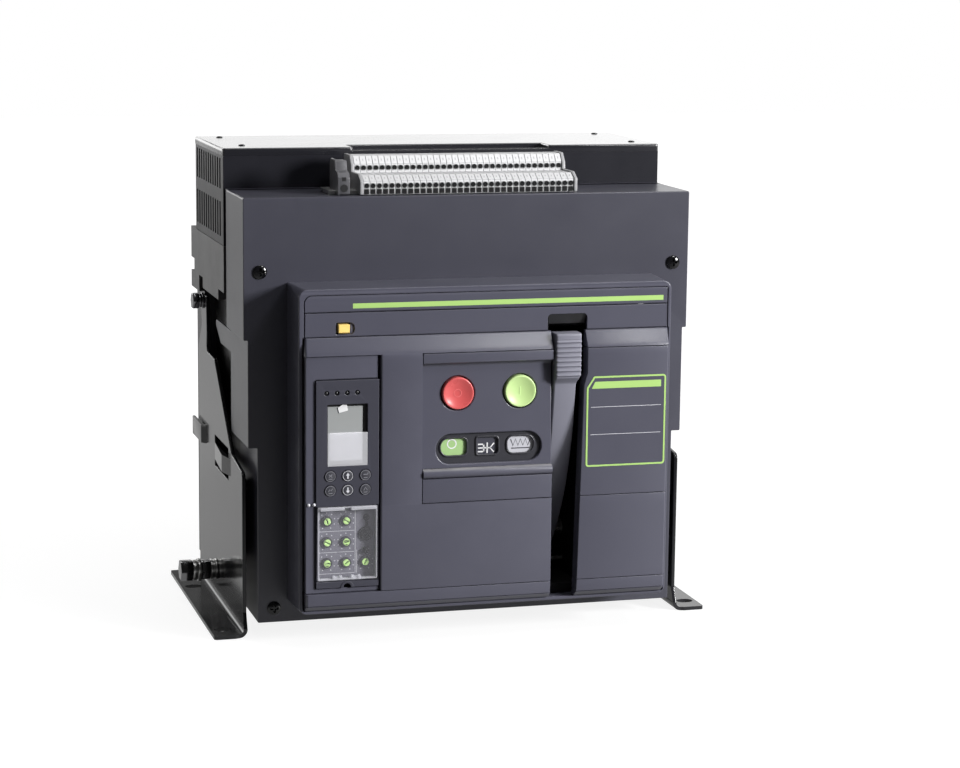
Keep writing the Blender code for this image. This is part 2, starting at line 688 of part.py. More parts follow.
def push_buttons():
    """Dished ON and OFF buttons, and the small square reset button."""
    radius = BUTTON_RADIUS
    profile = [
        (0.0, -0.0022),
        (radius * 0.5, -0.0017),
        (radius * 0.85, -0.0004),
        (radius * 0.93, 0.0),
        (radius, -0.0010),
        (radius, -0.0130),
        (0.0, -0.0130),
    ]
    turned("off_button", profile, RED, (OFF_X, BUTTON_Y, BUTTON_Z), FACING_FRONT, 24)
    turned("on_button", profile, GREEN, (ON_X, BUTTON_Y, BUTTON_Z), FACING_FRONT, 24)
    low = (RESET_X - RESET_WIDTH / 2, RIM_Y - 0.0025, RESET_Z - RESET_HEIGHT / 2)
    high = (RESET_X + RESET_WIDTH / 2, PANEL_BACK_WALL_Y + 0.008, RESET_Z + RESET_HEIGHT / 2)
    part("reset_button", box(low, high), YELLOW, (RESET_X, RIM_Y, RESET_Z))


def charging_handle():
    """A curved arm from its hub inside the slot up to a ribbed grip."""
    y, z = HANDLE_PIVOT
    front = bezier((y - 0.014, z - 0.006), (-0.044, 0.125), (-0.0505, GRIP_BOTTOM), 8)
    back = bezier((-0.0380, GRIP_BOTTOM), (-0.034, 0.140), (y + 0.011, z + 0.008), 8)
    ribs = []
    pitch = (RIB_TOP - RIB_BOTTOM) / RIB_COUNT
    for index in range(RIB_COUNT):
        low = RIB_BOTTOM + pitch * index
        ribs += [(GRIP_FRONT, low), (GRIP_FRONT, low + pitch * 0.55)]
        ribs += [(GRIP_FRONT + RIB_DEPTH, low + pitch * 0.65), (GRIP_FRONT + RIB_DEPTH, low + pitch * 0.9)]
    grip = [(GRIP_BACK, GRIP_BOTTOM - 0.006), (-0.0515, GRIP_BOTTOM - 0.006), (GRIP_FRONT, GRIP_BOTTOM)]
    grip += ribs + [(GRIP_FRONT, GRIP_TOP - 0.004), (GRIP_FRONT + 0.004, GRIP_TOP), (GRIP_BACK, GRIP_TOP)]
    pivot = (0.0, y, z)
    arm = flat_solid(front + back, "YZ", HANDLE_LEFT + 0.0001, ARM_RIGHT)
    thing = part("charging_handle", arm, GRIP_GREY, pivot)
    join(thing, flat_solid(grip, "YZ", HANDLE_LEFT, GRIP_RIGHT))
    join(thing, cylinder("X", HANDLE_PIVOT, 0.014, HANDLE_LEFT + 0.0003, ARM_RIGHT - 0.0003, 24))
    cut(thing, cylinder("X", HANDLE_PIVOT, PIN_RADIUS + RUNNING_GAP, HANDLE_LEFT - 0.01, GRIP_RIGHT + 0.01))


def trip_unit():
    """Electronic module with a display recess, key holes and a well for the setting dials."""
    thing = part(
        "trip_unit",
        box((UNIT_LOW[0], UNIT_FRONT_Y, UNIT_LOW[1]), (UNIT_HIGH[0], UNIT_BACK_Y, UNIT_HIGH[1])),
        BLACK_PLASTIC,
    )
    proud = UNIT_FRONT_Y - 0.01
    rim = 2 * GAP
    window_low = (WINDOW_LOW[0] - rim, proud, WINDOW_LOW[1] - rim)
    well_low = (DIAL_WELL_LOW[0], proud, DIAL_WELL_LOW[1])
    notch_low = (UNIT_LOW[0] + NOTCH_SIDE, proud, UNIT_LOW[1] - 0.01)
    cut(
        thing,
        box(window_low, (WINDOW_HIGH[0] + rim, WINDOW_FLOOR_Y, WINDOW_HIGH[1] + rim)),
        box(well_low, (DIAL_WELL_HIGH[0], DIAL_FLOOR_Y, DIAL_WELL_HIGH[1])),
        box(notch_low, (UNIT_HIGH[0] - NOTCH_SIDE, NOTCH_FLOOR_Y, DIAL_WELL_LOW[1] + 0.001)),
    )
    key_radius = KEY_RADIUS + RUNNING_GAP
    holes = [
        cylinder("Y", (x, z), key_radius, proud, -0.0470) for x in KEY_COLUMNS for z in KEY_ROWS
    ]
    holes.append(cylinder("Y", TEST_PORT, TEST_PORT_RADIUS, proud, -0.0400))
    holes.append(cylinder("Y", TEST_BUTTON, TEST_BUTTON_RADIUS + RUNNING_GAP, proud, -0.0400))
    cut(thing, merged(holes))
    low = (WINDOW_LOW[0], UNIT_FRONT_Y + GAP, WINDOW_LOW[1])
    glass = box(low, (WINDOW_HIGH[0], WINDOW_FLOOR_Y - GAP, WINDOW_HIGH[1]))
    part("display_window", glass, DISPLAY)


def unit_controls():
    """Keys, setting dials and the test button of the trip unit."""
    radius = KEY_RADIUS
    key = [(0.0, 0.0058), (radius - 0.0004, 0.0058), (radius, 0.0054), (radius, 0.0), (0.0, 0.0)]
    for row, z in enumerate(KEY_ROWS):
        for column, x in enumerate(KEY_COLUMNS):
            number = row * len(KEY_COLUMNS) + column + 1
            turned(f"key_{number}", key, BLACK_PLASTIC, (x, -0.0480, z), FACING_FRONT)
    radius = DIAL_RADIUS
    dial = [(0.0, 0.0030), (radius - 0.0005, 0.0030), (radius, 0.0025), (radius, 0.0), (0.0, 0.0)]
    places = [(x, z) for z in DIAL_ROWS for x in DIAL_COLUMNS[:2]] + [(DIAL_COLUMNS[2], DIAL_ROWS[2])]
    for number, (x, z) in enumerate(places, start=1):
        thing = turned(
            f"setting_dial_{number}", dial, LIME, (x, DIAL_FLOOR_Y - GAP, z), FACING_FRONT
        )
        slot = box((-radius - 0.001, -0.0006, 0.0018), (radius + 0.001, 0.0006, 0.0050))
        cut(thing, slot, frame=thing)
    radius = TEST_BUTTON_RADIUS
    stem = [(0.0, 0.0075), (radius - 0.0004, 0.0075), (radius, 0.0071), (radius, 0.0), (0.0, 0.0)]
    turned("test_button", stem, GREY_TERMINAL, (TEST_BUTTON[0], -0.0415, TEST_BUTTON[1]), FACING_FRONT)


def clear_cover():
    """Transparent flap over the setting dials, hinged along its lower edge."""
    y, z = COVER_PIVOT
    low = (DIAL_WELL_LOW[0] + RUNNING_GAP, y - 0.0018, z + 0.0005)
    high = (DIAL_WELL_HIGH[0] - RUNNING_GAP, y - 0.0018 + COVER_THICKNESS, DIAL_WELL_HIGH[1] - RUNNING_GAP)
    thing = part("clear_cover", box(low, high), CLEAR, (0.0, y, z))
    join(thing, cylinder("X", COVER_PIVOT, 0.0017, low[0] + 0.0003, high[0] - 0.0003, 12))


def line_terminal(name, x):
    """Upper bar with the fixed contact pad inside and two bolt holes outside."""
    low = (x - BAR_HALF_WIDTH, 0.1722, LINE_BAR_Z)
    high = (x + BAR_HALF_WIDTH, TERMINAL_END, LINE_BAR_Z + BAR_THICKNESS)
    thing = part(name, box(low, high), COPPER)
    join(thing, box((x - 0.032, 0.1720, 0.226), (x + 0.032, 0.1800, 0.262)))
    terminal_holes(thing, x, LINE_BAR_Z)


def load_terminal(name, x):
    """Lower bar with the hinge jaws of the moving contact, their pin, and two bolt holes."""
    bar_top = LOAD_BAR_Z + BAR_THICKNESS
    low, high = (x - BAR_HALF_WIDTH, 0.1495, LOAD_BAR_Z), (x + BAR_HALF_WIDTH, TERMINAL_END, bar_top)
    thing = part(name, box(low, high), COPPER)
    for side in (-1, 1):
        left, right = both_sides(side, 0.0330, BAR_HALF_WIDTH - 0.0003)
        join(thing, box((x + left, 0.1500, bar_top - 0.005), (x + right, 0.1700, CONTACT_PIVOT[1] + 0.011)))
    join(thing, cylinder("X", CONTACT_PIVOT, CONTACT_PIN_RADIUS, x - 0.035, x + 0.035))
    terminal_holes(thing, x, LOAD_BAR_Z)


def terminal_holes(thing, x, z):
    holes = []
    for side in (-1, 1):
        centre = Vector((x + side * TERMINAL_HOLE_X, TERMINAL_HOLE_Y, z + BAR_THICKNESS / 2))
        hole = cylinder("Y", (0.0, 0.0), TERMINAL_HOLE_RADIUS, -0.02, 0.02)
        hole.transform(Matrix.Translation(centre) @ Matrix.Rotation(math.pi / 2, 4, "X"))
        holes.append(hole)
    cut(thing, merged(holes))


def moving_contact(name, x):
    """A finger block on the load terminal's pin, with a fork for its drive link. It stands open."""
    hub, half, tip = 0.009, 0.007, 0.0115
    blade = [(-hub, 0.0), (-half, 0.012), (-half, 0.124), (-0.0040, 0.128), (tip, 0.124), (tip, 0.094)]
    foot = [(half, 0.090), (half, 0.012), (hub, 0.0)]
    round_end = [(hub * 0.7, -hub * 0.7), (0.0, -hub), (-hub * 0.7, -hub * 0.7)]
    arm = blade + foot + round_end
    pivot = (x, *CONTACT_PIVOT)
    body = flat_solid(arm, "YZ", -0.030, 0.030)
    body.transform(Matrix.Translation(pivot))
    thing = part(name, body, COPPER, pivot)
    thing.rotation_euler = (CONTACT_OPEN_ANGLE, 0.0, 0.0)
    for left in (0.001, 0.014):
        join(thing, box((left, -0.022, 0.038), (left + 0.003, -0.002, 0.052)), frame=thing)
    bore = cylinder("X", (0.0, 0.0), CONTACT_PIN_RADIUS + RUNNING_GAP, -0.040, 0.040)
    cut(thing, bore, frame=thing)


def current_transformer(name, x):
    """Rectangular core and winding round the load bar."""
    thing = part(name, box((x - 0.0455, 0.1760, 0.0700), (x + 0.0455, 0.2100, 0.1400)), BLACK_PLASTIC)
    margin = 0.001
    low = (x - BAR_HALF_WIDTH - margin, 0.1700, LOAD_BAR_Z - margin)
    high = (x + BAR_HALF_WIDTH + margin, 0.2200, LOAD_BAR_Z + BAR_THICKNESS + margin)
    cut(thing, box(low, high))


def lever_end():
    """Where a lever's pin stands with the breaker open."""
    y, z = SHAFT_AXIS
    return (y - LEVER_LENGTH * math.sin(LEVER_OPEN_ANGLE), z + LEVER_LENGTH * math.cos(LEVER_OPEN_ANGLE))


def pole_shaft():
    """The shaft that works all three poles, with a lever and a pin for each."""
    y, z = SHAFT_AXIS
    bar = cylinder("X", SHAFT_AXIS, SHAFT_RADIUS, -SHAFT_HALF_LENGTH, SHAFT_HALF_LENGTH)
    thing = part("pole_shaft", bar, ZINC_STEEL, (0.0, y, z))
    end_y, end_z = lever_end()
    across = Vector((math.cos(LEVER_OPEN_ANGLE), math.sin(LEVER_OPEN_ANGLE))) * 0.007
    along = Vector((-math.sin(LEVER_OPEN_ANGLE), math.cos(LEVER_OPEN_ANGLE))) * 0.007
    foot, tip = Vector((y, z)), Vector((end_y, end_z))
    lever = [foot - across, tip - across, tip + along, tip + across, foot + across]
    for x in POLES.values():
        join(thing, flat_solid(lever, "YZ", x - 0.005, x + 0.005))
        join(thing, cylinder("X", (end_y, end_z), LINK_PIN_RADIUS, x, x + 0.0135, 12))


def drive_link(name, x):
    """Insulating link from a lever's pin to its moving contact, short of it by a clearance."""
    end_y, end_z = lever_end()
    tail = 0.1275
    outline = fillet(rectangle((end_y - 0.008, end_z - 0.006), (tail, end_z + 0.006)), 0.005, 3)
    thing = part(name, flat_solid(outline, "YZ", x + 0.006, x + 0.012), BLACK_PLASTIC, (x, end_y, end_z))
    cut(thing, cylinder("X", (end_y, end_z), LINK_PIN_RADIUS + RUNNING_GAP, x, x + 0.020, 12))


def mechanism_frame():
    """Folded steel cage on the base: back plate, two cheeks, floor, and the handle's pin."""
    front, back = 0.006, BASE_FRONT - GAP
    low, floor = MECHANISM_BOTTOM, MECHANISM_FLOOR
    thing = part(
        "mechanism_frame",
        box((MECHANISM_LEFT - 0.002, back - SHEET, low), (MECHANISM_RIGHT + 0.002, back, 0.335)),
        ZINC_STEEL,
    )
    for left in (MECHANISM_LEFT, MECHANISM_RIGHT - SHEET):
        join(thing, box((left, front, low + 0.0002), (left + SHEET, back - 0.001, 0.262)))
    left, right = MECHANISM_LEFT + 0.001, MECHANISM_RIGHT - 0.001
    join(thing, box((left, front + 0.0005, low + 0.0004), (right, back - 0.0015, floor)))
    join(thing, cylinder("X", HANDLE_PIVOT, PIN_RADIUS, 0.0480, MECHANISM_RIGHT - 0.001))
    bore = SHAFT_RADIUS + RUNNING_GAP
    bearing = cylinder("X", SHAFT_AXIS, bore, MECHANISM_LEFT - 0.01, MECHANISM_RIGHT + 0.01)
    cut(thing, bearing, link_slot(POLES["centre"]))


def coil(name, x):
    """Solenoid on the mechanism's back plate: a bobbin with two cheeks and a plunger."""
    profile = [
        (0.0, 0.052),
        (0.004, 0.052),
        (0.004, 0.042),
        (0.017, 0.042),
        (0.017, 0.038),
        (0.014, 0.038),
        (0.014, 0.004),
        (0.017, 0.004),
        (0.017, 0.0),
        (0.0, 0.0),
    ]
    turned(name, profile, BLACK_PLASTIC, (x, BASE_FRONT - SHEET - 2 * GAP, 0.306), FACING_FRONT, 16)


def closing_spring():
    """Helical compression spring on the mechanism's floor, in one unbroken tube."""
    turns, points_a_turn, radius, wire = 7, 12, 0.0120, 0.0016
    start, end = MECHANISM_FLOOR + 0.0022, 0.1300
    count = turns * points_a_turn + 1
    curve = bpy.data.curves.new("spring", "CURVE")
    curve.dimensions = "3D"
    curve.bevel_depth = wire
    curve.bevel_resolution = 1
    curve.use_fill_caps = True
    spline = curve.splines.new("POLY")
    spline.points.add(count - 1)
    for index, point in enumerate(spline.points):
        angle = 2 * math.pi * index / points_a_turn
        height = start + (end - start) * index / (count - 1)
        point.co = (-0.035 + radius * math.cos(angle), 0.040 + radius * math.sin(angle), height, 1.0)
    part("closing_spring", solid_of_curve(curve), ZINC_STEEL)


def control_terminals():
    """Two-level terminal block on its rail, with an end stop, on the front frame's ledge."""
    part(
        "terminal_rail",
        box((STOP_LEFT - 0.002, 0.0140, RAIL_LOW), (BLOCK_RIGHT + 0.002, 0.0490, RAIL_HIGH)),
        ZINC_STEEL,
    )
    foot_z, rail_z = 0.3480, RAIL_HIGH + GAP
    over_rail = [(0.0500, foot_z), (0.0500, rail_z), (0.0130, rail_z), (0.0130, foot_z)]
    lower_row = [(0.0050, foot_z), (0.0050, 0.3582), (0.0130, 0.3626), (0.0375, 0.3626)]
    upper_row = [(0.0378, 0.3692), (0.0450, 0.3785), (0.0600, 0.3785), (0.0620, 0.3765), (0.0620, foot_z)]
    block = lower_row + upper_row + over_rail
    part("terminal_block", flat_solid(block, "YZ", BLOCK_LEFT, BLOCK_RIGHT), GREY_TERMINAL)
    slope = [(0.0080, foot_z), (0.0080, 0.3640), (0.0300, 0.3745), (0.0550, 0.3745), (0.0550, foot_z)]
    stop = slope + over_rail
    part("terminal_end_stop", flat_solid(stop, "YZ", STOP_LEFT, STOP_RIGHT), BLACK_PLASTIC)


def build():
    for side_name, side in (("left", -1), ("right", 1)):
        side_plate(f"{side_name}_side_plate", side)
        earth_bolt(f"earth_bolt_{side_name}", side)
    front_base()
    rear_base()
    arc_chamber_housing()
    arc_chamber_cover()
    front_frame()
    front_panel()
    for pole, x in POLES.items():
        arc_chute(f"arc_chute_{pole}", x)
        line_terminal(f"line_terminal_{pole}", x)
        load_terminal(f"load_terminal_{pole}", x)
        moving_contact(f"moving_contact_{pole}", x)
        current_transformer(f"current_transformer_{pole}", x)
        drive_link(f"drive_link_{pole}", x)
    pole_shaft()
    mechanism_frame()
    coil("opening_coil", -0.030)
    coil("closing_coil", 0.030)
    closing_spring()
    charging_handle()
    push_buttons()
    flags()
    trip_unit()
    unit_controls()
    clear_cover()
    control_terminals()


build()
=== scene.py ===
import math

import bmesh
import bpy
import numpy as np
from mathutils import Matrix, Vector
from mathutils.geometry import tessellate_polygon


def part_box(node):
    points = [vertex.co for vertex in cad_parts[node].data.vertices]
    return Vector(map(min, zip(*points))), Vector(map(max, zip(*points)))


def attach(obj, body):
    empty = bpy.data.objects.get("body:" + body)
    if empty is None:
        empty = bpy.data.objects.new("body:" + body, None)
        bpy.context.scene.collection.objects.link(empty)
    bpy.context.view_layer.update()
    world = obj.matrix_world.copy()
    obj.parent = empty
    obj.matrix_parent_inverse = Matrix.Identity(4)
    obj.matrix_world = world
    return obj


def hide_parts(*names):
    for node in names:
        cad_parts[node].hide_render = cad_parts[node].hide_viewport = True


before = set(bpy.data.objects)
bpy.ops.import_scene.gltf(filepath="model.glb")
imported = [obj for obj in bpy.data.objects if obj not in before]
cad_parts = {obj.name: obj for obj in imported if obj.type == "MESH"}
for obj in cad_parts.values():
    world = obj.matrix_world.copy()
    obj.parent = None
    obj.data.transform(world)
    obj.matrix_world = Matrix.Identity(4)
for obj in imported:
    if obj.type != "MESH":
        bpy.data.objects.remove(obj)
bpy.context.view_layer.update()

# Side plates. Two 3 mm steel plates, folded outwards at the bottom into slotted feet and coated gloss black.
# They carry the breaker: its base is bolted to the arm at the top of each plate. A louvre and a tab are pressed
# out of each plate's side.
# All sizes are millimetres: x from the middle, y back from the front frame's face, z up from the feet.
MM = 0.001
FRONT_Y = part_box("front_frame")[0][1]


def node_group(name, inputs, outputs):
    """An empty shader group with these sockets, and the sockets inside it that give and take."""
    group = bpy.data.node_groups.new(name, "ShaderNodeTree")
    for label, value in inputs.items():
        kind = "NodeSocketColor" if isinstance(value, tuple) else "NodeSocketFloat"
        group.interface.new_socket(label, in_out="INPUT", socket_type=kind).default_value = value
    for label, kind in outputs.items():
        group.interface.new_socket(label, in_out="OUTPUT", socket_type="NodeSocket" + kind)
    return group, group.nodes.new("NodeGroupInput").outputs, group.nodes.new("NodeGroupOutput").inputs


def node(tree, kind, inputs=None, **settings):
    """A shader node whose inputs are set to values or linked to sockets; gives back its outputs."""
    made = tree.nodes.new("ShaderNode" + kind)
    for label, value in settings.items():
        setattr(made, label, value)
    for label, value in (inputs or {}).items():
        if isinstance(value, bpy.types.NodeSocket):
            tree.links.new(value, made.inputs[label])
        else:
            made.inputs[label].default_value = value
    return made.outputs


def maths(tree, operation, first, second, clamp=False):
    """Two values added, subtracted, multiplied or compared for the greater; clamp holds it within 0 and 1."""
    return node(tree, "Math", {0: first, 1: second}, operation=operation, use_clamp=clamp)["Value"]


def ranged(tree, value, start, end, low=0.0, high=1.0):
    """A value carried from the span start to end onto the span low to high, and held within it."""
    spans = {"Value": value, "From Min": start, "From Max": end, "To Min": low, "To Max": high}
    return node(tree, "MapRange", spans)["Result"]


# Skin of a moulded or coated surface: fine grain, broad mottling, edges rubbed lighter, and a pale tint on
# upward faces, which is dust when light and a painted highlight when set high
skin, given, put = node_group(
    "worn_skin",
    {
        "Color": (0.1, 0.1, 0.1, 1.0),
        "Roughness": 0.4,
        "Grain Scale": 1500.0,
        "Grain Depth": 0.1,
        "Mottle": 0.1,
        "Edge Wear": 0.3,
        "Dust": 0.05,
    },
    {"Color": "Color", "Roughness": "Float", "Normal": "Vector"},
)
where = node(skin, "TexCoord")["Object"]
grain = node(skin, "TexNoise", {"Vector": where, "Scale": given["Grain Scale"], "Detail": 2.0})["Fac"]
mottling = node(skin, "TexNoise", {"Vector": where, "Scale": 26.0, "Detail": 5.0, "Roughness": 0.62})["Fac"]
shape = node(skin, "NewGeometry")
swing = maths(skin, "SUBTRACT", mottling, 0.5)
swing = maths(skin, "MULTIPLY", swing, given["Mottle"])
bright = maths(skin, "ADD", swing, 1.0)
toned = node(skin, "HueSaturation", {"Color": given["Color"], "Value": bright})["Color"]
ridge = ranged(skin, shape["Pointiness"], 0.515, 0.60)
rubbed = maths(skin, "MULTIPLY", ridge, mottling)
rubbed = maths(skin, "MULTIPLY", rubbed, given["Edge Wear"], True)
pale = node(skin, "HueSaturation", {"Color": given["Color"], "Saturation": 0.8, "Value": 2.2})["Color"]
worn = node(skin, "Mix", {"Factor": rubbed, 6: toned, 7: pale}, data_type="RGBA")[2]
# Upward faces turn pale: light dust at small amounts, a painted highlight at large ones
upward = node(skin, "SeparateXYZ", {"Vector": shape["Normal"]})["Z"]
dust_and_sheen_mask = ranged(skin, upward, 0.6, 1.0)
dust_and_sheen_mask = maths(skin, "MULTIPLY", dust_and_sheen_mask, mottling)
dust_and_sheen_mask = maths(skin, "MULTIPLY", dust_and_sheen_mask, given["Dust"], True)
dust_and_sheen_colour = node(skin, "Mix", {"Factor": dust_and_sheen_mask, 6: worn, 7: (0.5, 0.49, 0.47, 1.0)}, data_type="RGBA")[2]
skin.links.new(dust_and_sheen_colour, put["Color"])
matter = maths(skin, "ADD", swing, given["Roughness"])
matter = maths(skin, "ADD", dust_and_sheen_mask, matter, True)
skin.links.new(matter, put["Roughness"])
bumped = node(skin, "Bump", {"Strength": given["Grain Depth"], "Distance": 0.0002, "Height": grain})["Normal"]
skin.links.new(bumped, put["Normal"])


def finish(name, colour, roughness, metallic=0.0, coat=0.0, specular=0.5, **skin_values):
    """A Principled material whose colour, roughness and normal come through the worn skin."""
    material = bpy.data.materials.new(name)
    material.use_nodes = True
    tree = material.node_tree
    shader = tree.nodes["Principled BSDF"]
    shader.inputs["Metallic"].default_value = metallic
    shader.inputs["Coat Weight"].default_value = coat
    shader.inputs["Coat Roughness"].default_value = 0.12
    shader.inputs["Specular IOR Level"].default_value = specular
    values = {"Color": (*colour, 1.0), "Roughness": roughness}
    values.update({label.replace("_", " ").title(): value for label, value in skin_values.items()})
    outputs = node(tree, "Group", values, node_tree=skin)
    tree.links.new(outputs["Color"], shader.inputs["Base Color"])
    tree.links.new(outputs["Roughness"], shader.inputs["Roughness"])
    tree.links.new(outputs["Normal"], shader.inputs["Normal"])
    return material


def rounded(corners, radius, steps=5):
    """A closed outline with its corners made arcs: the centre lies radius / sin(half angle) along the bisector,
    and the arc's points turn from one side's foot to the other's by equal angles."""
    corner = np.array(corners, float)
    back = np.roll(corner, 1, 0) - corner
    ahead = np.roll(corner, -1, 0) - corner
    back /= np.linalg.norm(back, axis=1, keepdims=True)
    ahead /= np.linalg.norm(ahead, axis=1, keepdims=True)
    half = np.arccos(np.clip((back * ahead).sum(1, keepdims=True), -1.0, 1.0)) / 2
    size = np.broadcast_to(np.asarray(radius, float), len(corner))[:, None]
    bisector = (back + ahead) / np.linalg.norm(back + ahead, axis=1, keepdims=True)
    centre = corner + bisector * size / np.sin(half)
    first = (corner + back * size / np.tan(half) - centre)[:, None]
    last = (corner + ahead * size / np.tan(half) - centre)[:, None]
    turn = (math.pi - 2 * half)[:, None]
    share = np.linspace(0.0, 1.0, steps + 1)[None, :, None]
    arc = (np.sin((1 - share) * turn) * first + np.sin(share * turn) * last) / np.sin(turn)
    path = (centre[:, None] + arc).reshape(-1, 2)
    return path[np.linalg.norm(path - np.roll(path, 1, 0), axis=1) > 1e-5]


def rectangle(left, low, right, high, radius=0.0, steps=5):
    """A rectangle's outline, with rounded corners."""
    return rounded([(left, low), (right, low), (right, high), (left, high)], radius, steps)


def circle(x, z, radius, steps=32):
    """Points on a circle: centre + radius * (cos a, sin a)."""
    angle = np.arange(steps) * 2 * math.pi / steps
    return np.column_stack([x + radius * np.cos(angle), z + radius * np.sin(angle)])


def drawn_in(path, inset):
    """A closed outline moved to its left: point + inset * (n1 + n2) / (1 + n1.n2), n being the normals of the
    two sides that meet there."""
    side = np.roll(path, -1, 0) - path
    side /= np.linalg.norm(side, axis=1, keepdims=True)
    normal = np.column_stack([-side[:, 1], side[:, 0]])
    before = np.roll(normal, 1, 0)
    return path + inset * (before + normal) / (1 + (before * normal).sum(1, keepdims=True))


def soft(front, back, radius=0.6, back_radius=0.0, steps=3, margin=0.15):
    """Levels (inset, depth) of a slab with quarter-round edges: radius (1 - sin a), radius (1 - cos a), and a
    narrow flat margin inside each rounding that keeps the face's shading flat."""
    angle = np.linspace(0.0, math.pi / 2, steps + 1)
    way = math.copysign(1.0, back - front)
    near = [(radius + margin, front)]
    near += [(radius * (1 - math.sin(a)), front + way * radius * (1 - math.cos(a))) for a in angle]
    if not back_radius:
        return near + [(0.0, back)]
    far = [(back_radius * (1 - math.sin(a)), back - way * back_radius * (1 - math.cos(a))) for a in angle[::-1]]
    return near + far + [(back_radius + margin, back)]


def straight(front, back):
    """Levels of a slab with square edges."""
    return [(0.0, front), (0.0, back)]


def strips(rings, count, start=0):
    """Quads between closed rings that follow one another: point n, n + 1, and the two behind them."""
    here = start + count * np.arange(rings - 1)[:, None] + np.arange(count)
    there = start + count * np.arange(rings - 1)[:, None] + (np.arange(count) + 1) % count
    return np.stack([here, there, there + count, here + count], -1).reshape(-1, 4)


def slab(outlines, levels, hole_levels=None, far=None):
    """A flat slab: the first outline is its edge and the others holes, each carried through levels of
    (inset, depth), with both ends filled; far is the edge's outline at the last level, where it differs.
    A shape is its points and its lists of faces."""
    points, faces, front, back, start = [], [], [], [], 0
    ends = ([], [])
    for index, path in enumerate(outlines):
        path = np.asarray(path, float)
        ahead = np.roll(path, -1, 0)
        area = (path[:, 0] * ahead[:, 1] - ahead[:, 0] * path[:, 1]).sum()
        if (area > 0) != (index == 0):
            path = path[::-1]
        used = levels if index == 0 or hole_levels is None else hole_levels
        count, rows = len(path), len(used)
        rings = np.array(
            [np.column_stack([drawn_in(path, inset), np.full(count, depth)]) for inset, depth in used]
        )
        if index == 0 and far is not None:
            rings[-1, :, :2] = far
        points.append(rings.reshape(-1, 3))
        faces.append(strips(rows, count, start))
        front.append(start + np.arange(count))
        back.append(start + count * (rows - 1) + np.arange(count))
        ends[0].append(rings[0].tolist())
        ends[1].append(rings[-1].tolist())
        start += count * rows
    for indices, end in zip((front, back), ends):
        faces.append(np.concatenate(indices)[np.array(tessellate_polygon(end))])
    return np.concatenate(points), faces


def turned(profile, steps):
    """A profile of (radius, height) carried round the third axis: (r cos a, r sin a, h)."""
    profile = np.array(profile, float)
    angle = np.arange(steps) * 2 * math.pi / steps
    ring = np.stack([np.cos(angle), np.sin(angle)], -1)
    flat = profile[:, None, :1] * ring[None]
    heights = np.broadcast_to(profile[:, None, 1:], flat[..., :1].shape)
    points = np.concatenate([flat, heights], -1).reshape(-1, 3)
    return points, [strips(len(profile), steps)]


def facing(shape, way):
    """A shape drawn as (across, up, deep) turned to face the front or a side, or laid flat."""
    order = {"front": [0, 2, 1], "side": [2, 0, 1], "top": [0, 1, 2]}[way]
    return shape[0][:, order], shape[1]


def front_slab(*drawing):
    """A slab that faces the front."""
    return facing(slab(*drawing), "front")


def side_slab(*drawing):
    """A slab that faces a side."""
    return facing(slab(*drawing), "side")


def flat_slab(*drawing):
    """A slab that lies flat."""
    return facing(slab(*drawing), "top")


def moved(shape, x=0.0, y=0.0, z=0.0):
    """A shape carried by (x, y, z)."""
    return shape[0] + (x, y, z), shape[1]


def mirrored(shape):
    """A right-hand shape made left-handed: x changes sign."""
    return shape[0] * (-1, 1, 1), shape[1]


def joined(*shapes):
    """Several shapes as one list of points and faces."""
    starts = np.cumsum([0] + [len(points) for points, _ in shapes])
    points = np.concatenate([points for points, _ in shapes])
    return points, [block + start for (_, faces), start in zip(shapes, starts) for block in faces]


def repeated(shape, offsets):
    """A shape at each of several offsets: points + offset, faces + a copy's first index."""
    points, faces = shape
    offsets = np.array(offsets, float)
    starts = np.arange(len(offsets)) * len(points)
    spread = (points[None] + offsets[:, None]).reshape(-1, 3)
    return spread, [(block[None] + starts[:, None, None]).reshape(-1, block.shape[1]) for block in faces]


def piece(name, shape, material, body="breaker", replaces=(), sharp=38.0):
    """A mesh piece in metres that rides on a body: doubles merged, faces outwards, smooth except at edges of
    more than sharp degrees."""
    points, faces = shape
    mesh = bpy.data.meshes.new(name)
    places = points * MM + (0.0, FRONT_Y, 0.0)
    mesh.from_pydata(places.tolist(), [], [face for block in faces for face in block.tolist()])
    work = bmesh.new()
    work.from_mesh(mesh)
    bmesh.ops.remove_doubles(work, verts=work.verts, dist=1e-6)
    bmesh.ops.recalc_face_normals(work, faces=work.faces)
    work.to_mesh(mesh)
    work.free()
    mesh.shade_smooth()
    mesh.set_sharp_from_angle(angle=math.radians(sharp))
    mesh.materials.append(material)
    thing = bpy.data.objects.new(name, mesh)
    bpy.context.scene.collection.objects.link(thing)
    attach(thing, body)
    if replaces:
        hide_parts(*replaces)


def dress(material, *nodes):
    """Gives CAD nodes their finish."""
    for name in nodes:
        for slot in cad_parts[name].material_slots:
            slot.material = material


black_coat = finish("black_coat", (0.010, 0.010, 0.012), 0.13, grain_depth=0.02, mottle=0.03, edge_wear=0.5)
PLATE_OUT, PLATE_IN, PLATE_FRONT, PLATE_BACK = 180.6, 177.6, 6.0, 211.5
SHEET, FOLD_X, FOLD_Z = 3.0, 184.6, 7.0
plate_edge = [
    (PLATE_FRONT, FOLD_Z), (11.2, 19), (11.2, 131), (57.5, 136.6), (134.5, 201.8), (172, 202.8), (170, 219.8),
    (172, 248.8), (198.5, 248.8), (198.5, 236.8), (193.5, 222.8), (PLATE_BACK, 202.8), (PLATE_BACK, FOLD_Z),
]
plate_corners = [0, 3, 5, 14, 12, 5, 6, 3, 3, 3, 6, 8, 0]
LOUVRE_LOW, LOUVRE_HIGH = 118.6, 132.6
louvre_slots = [
    rectangle(71, low, 134, high, 1.0, 2) for low, high in ((113.1, LOUVRE_LOW), (LOUVRE_HIGH, 139.1))
]
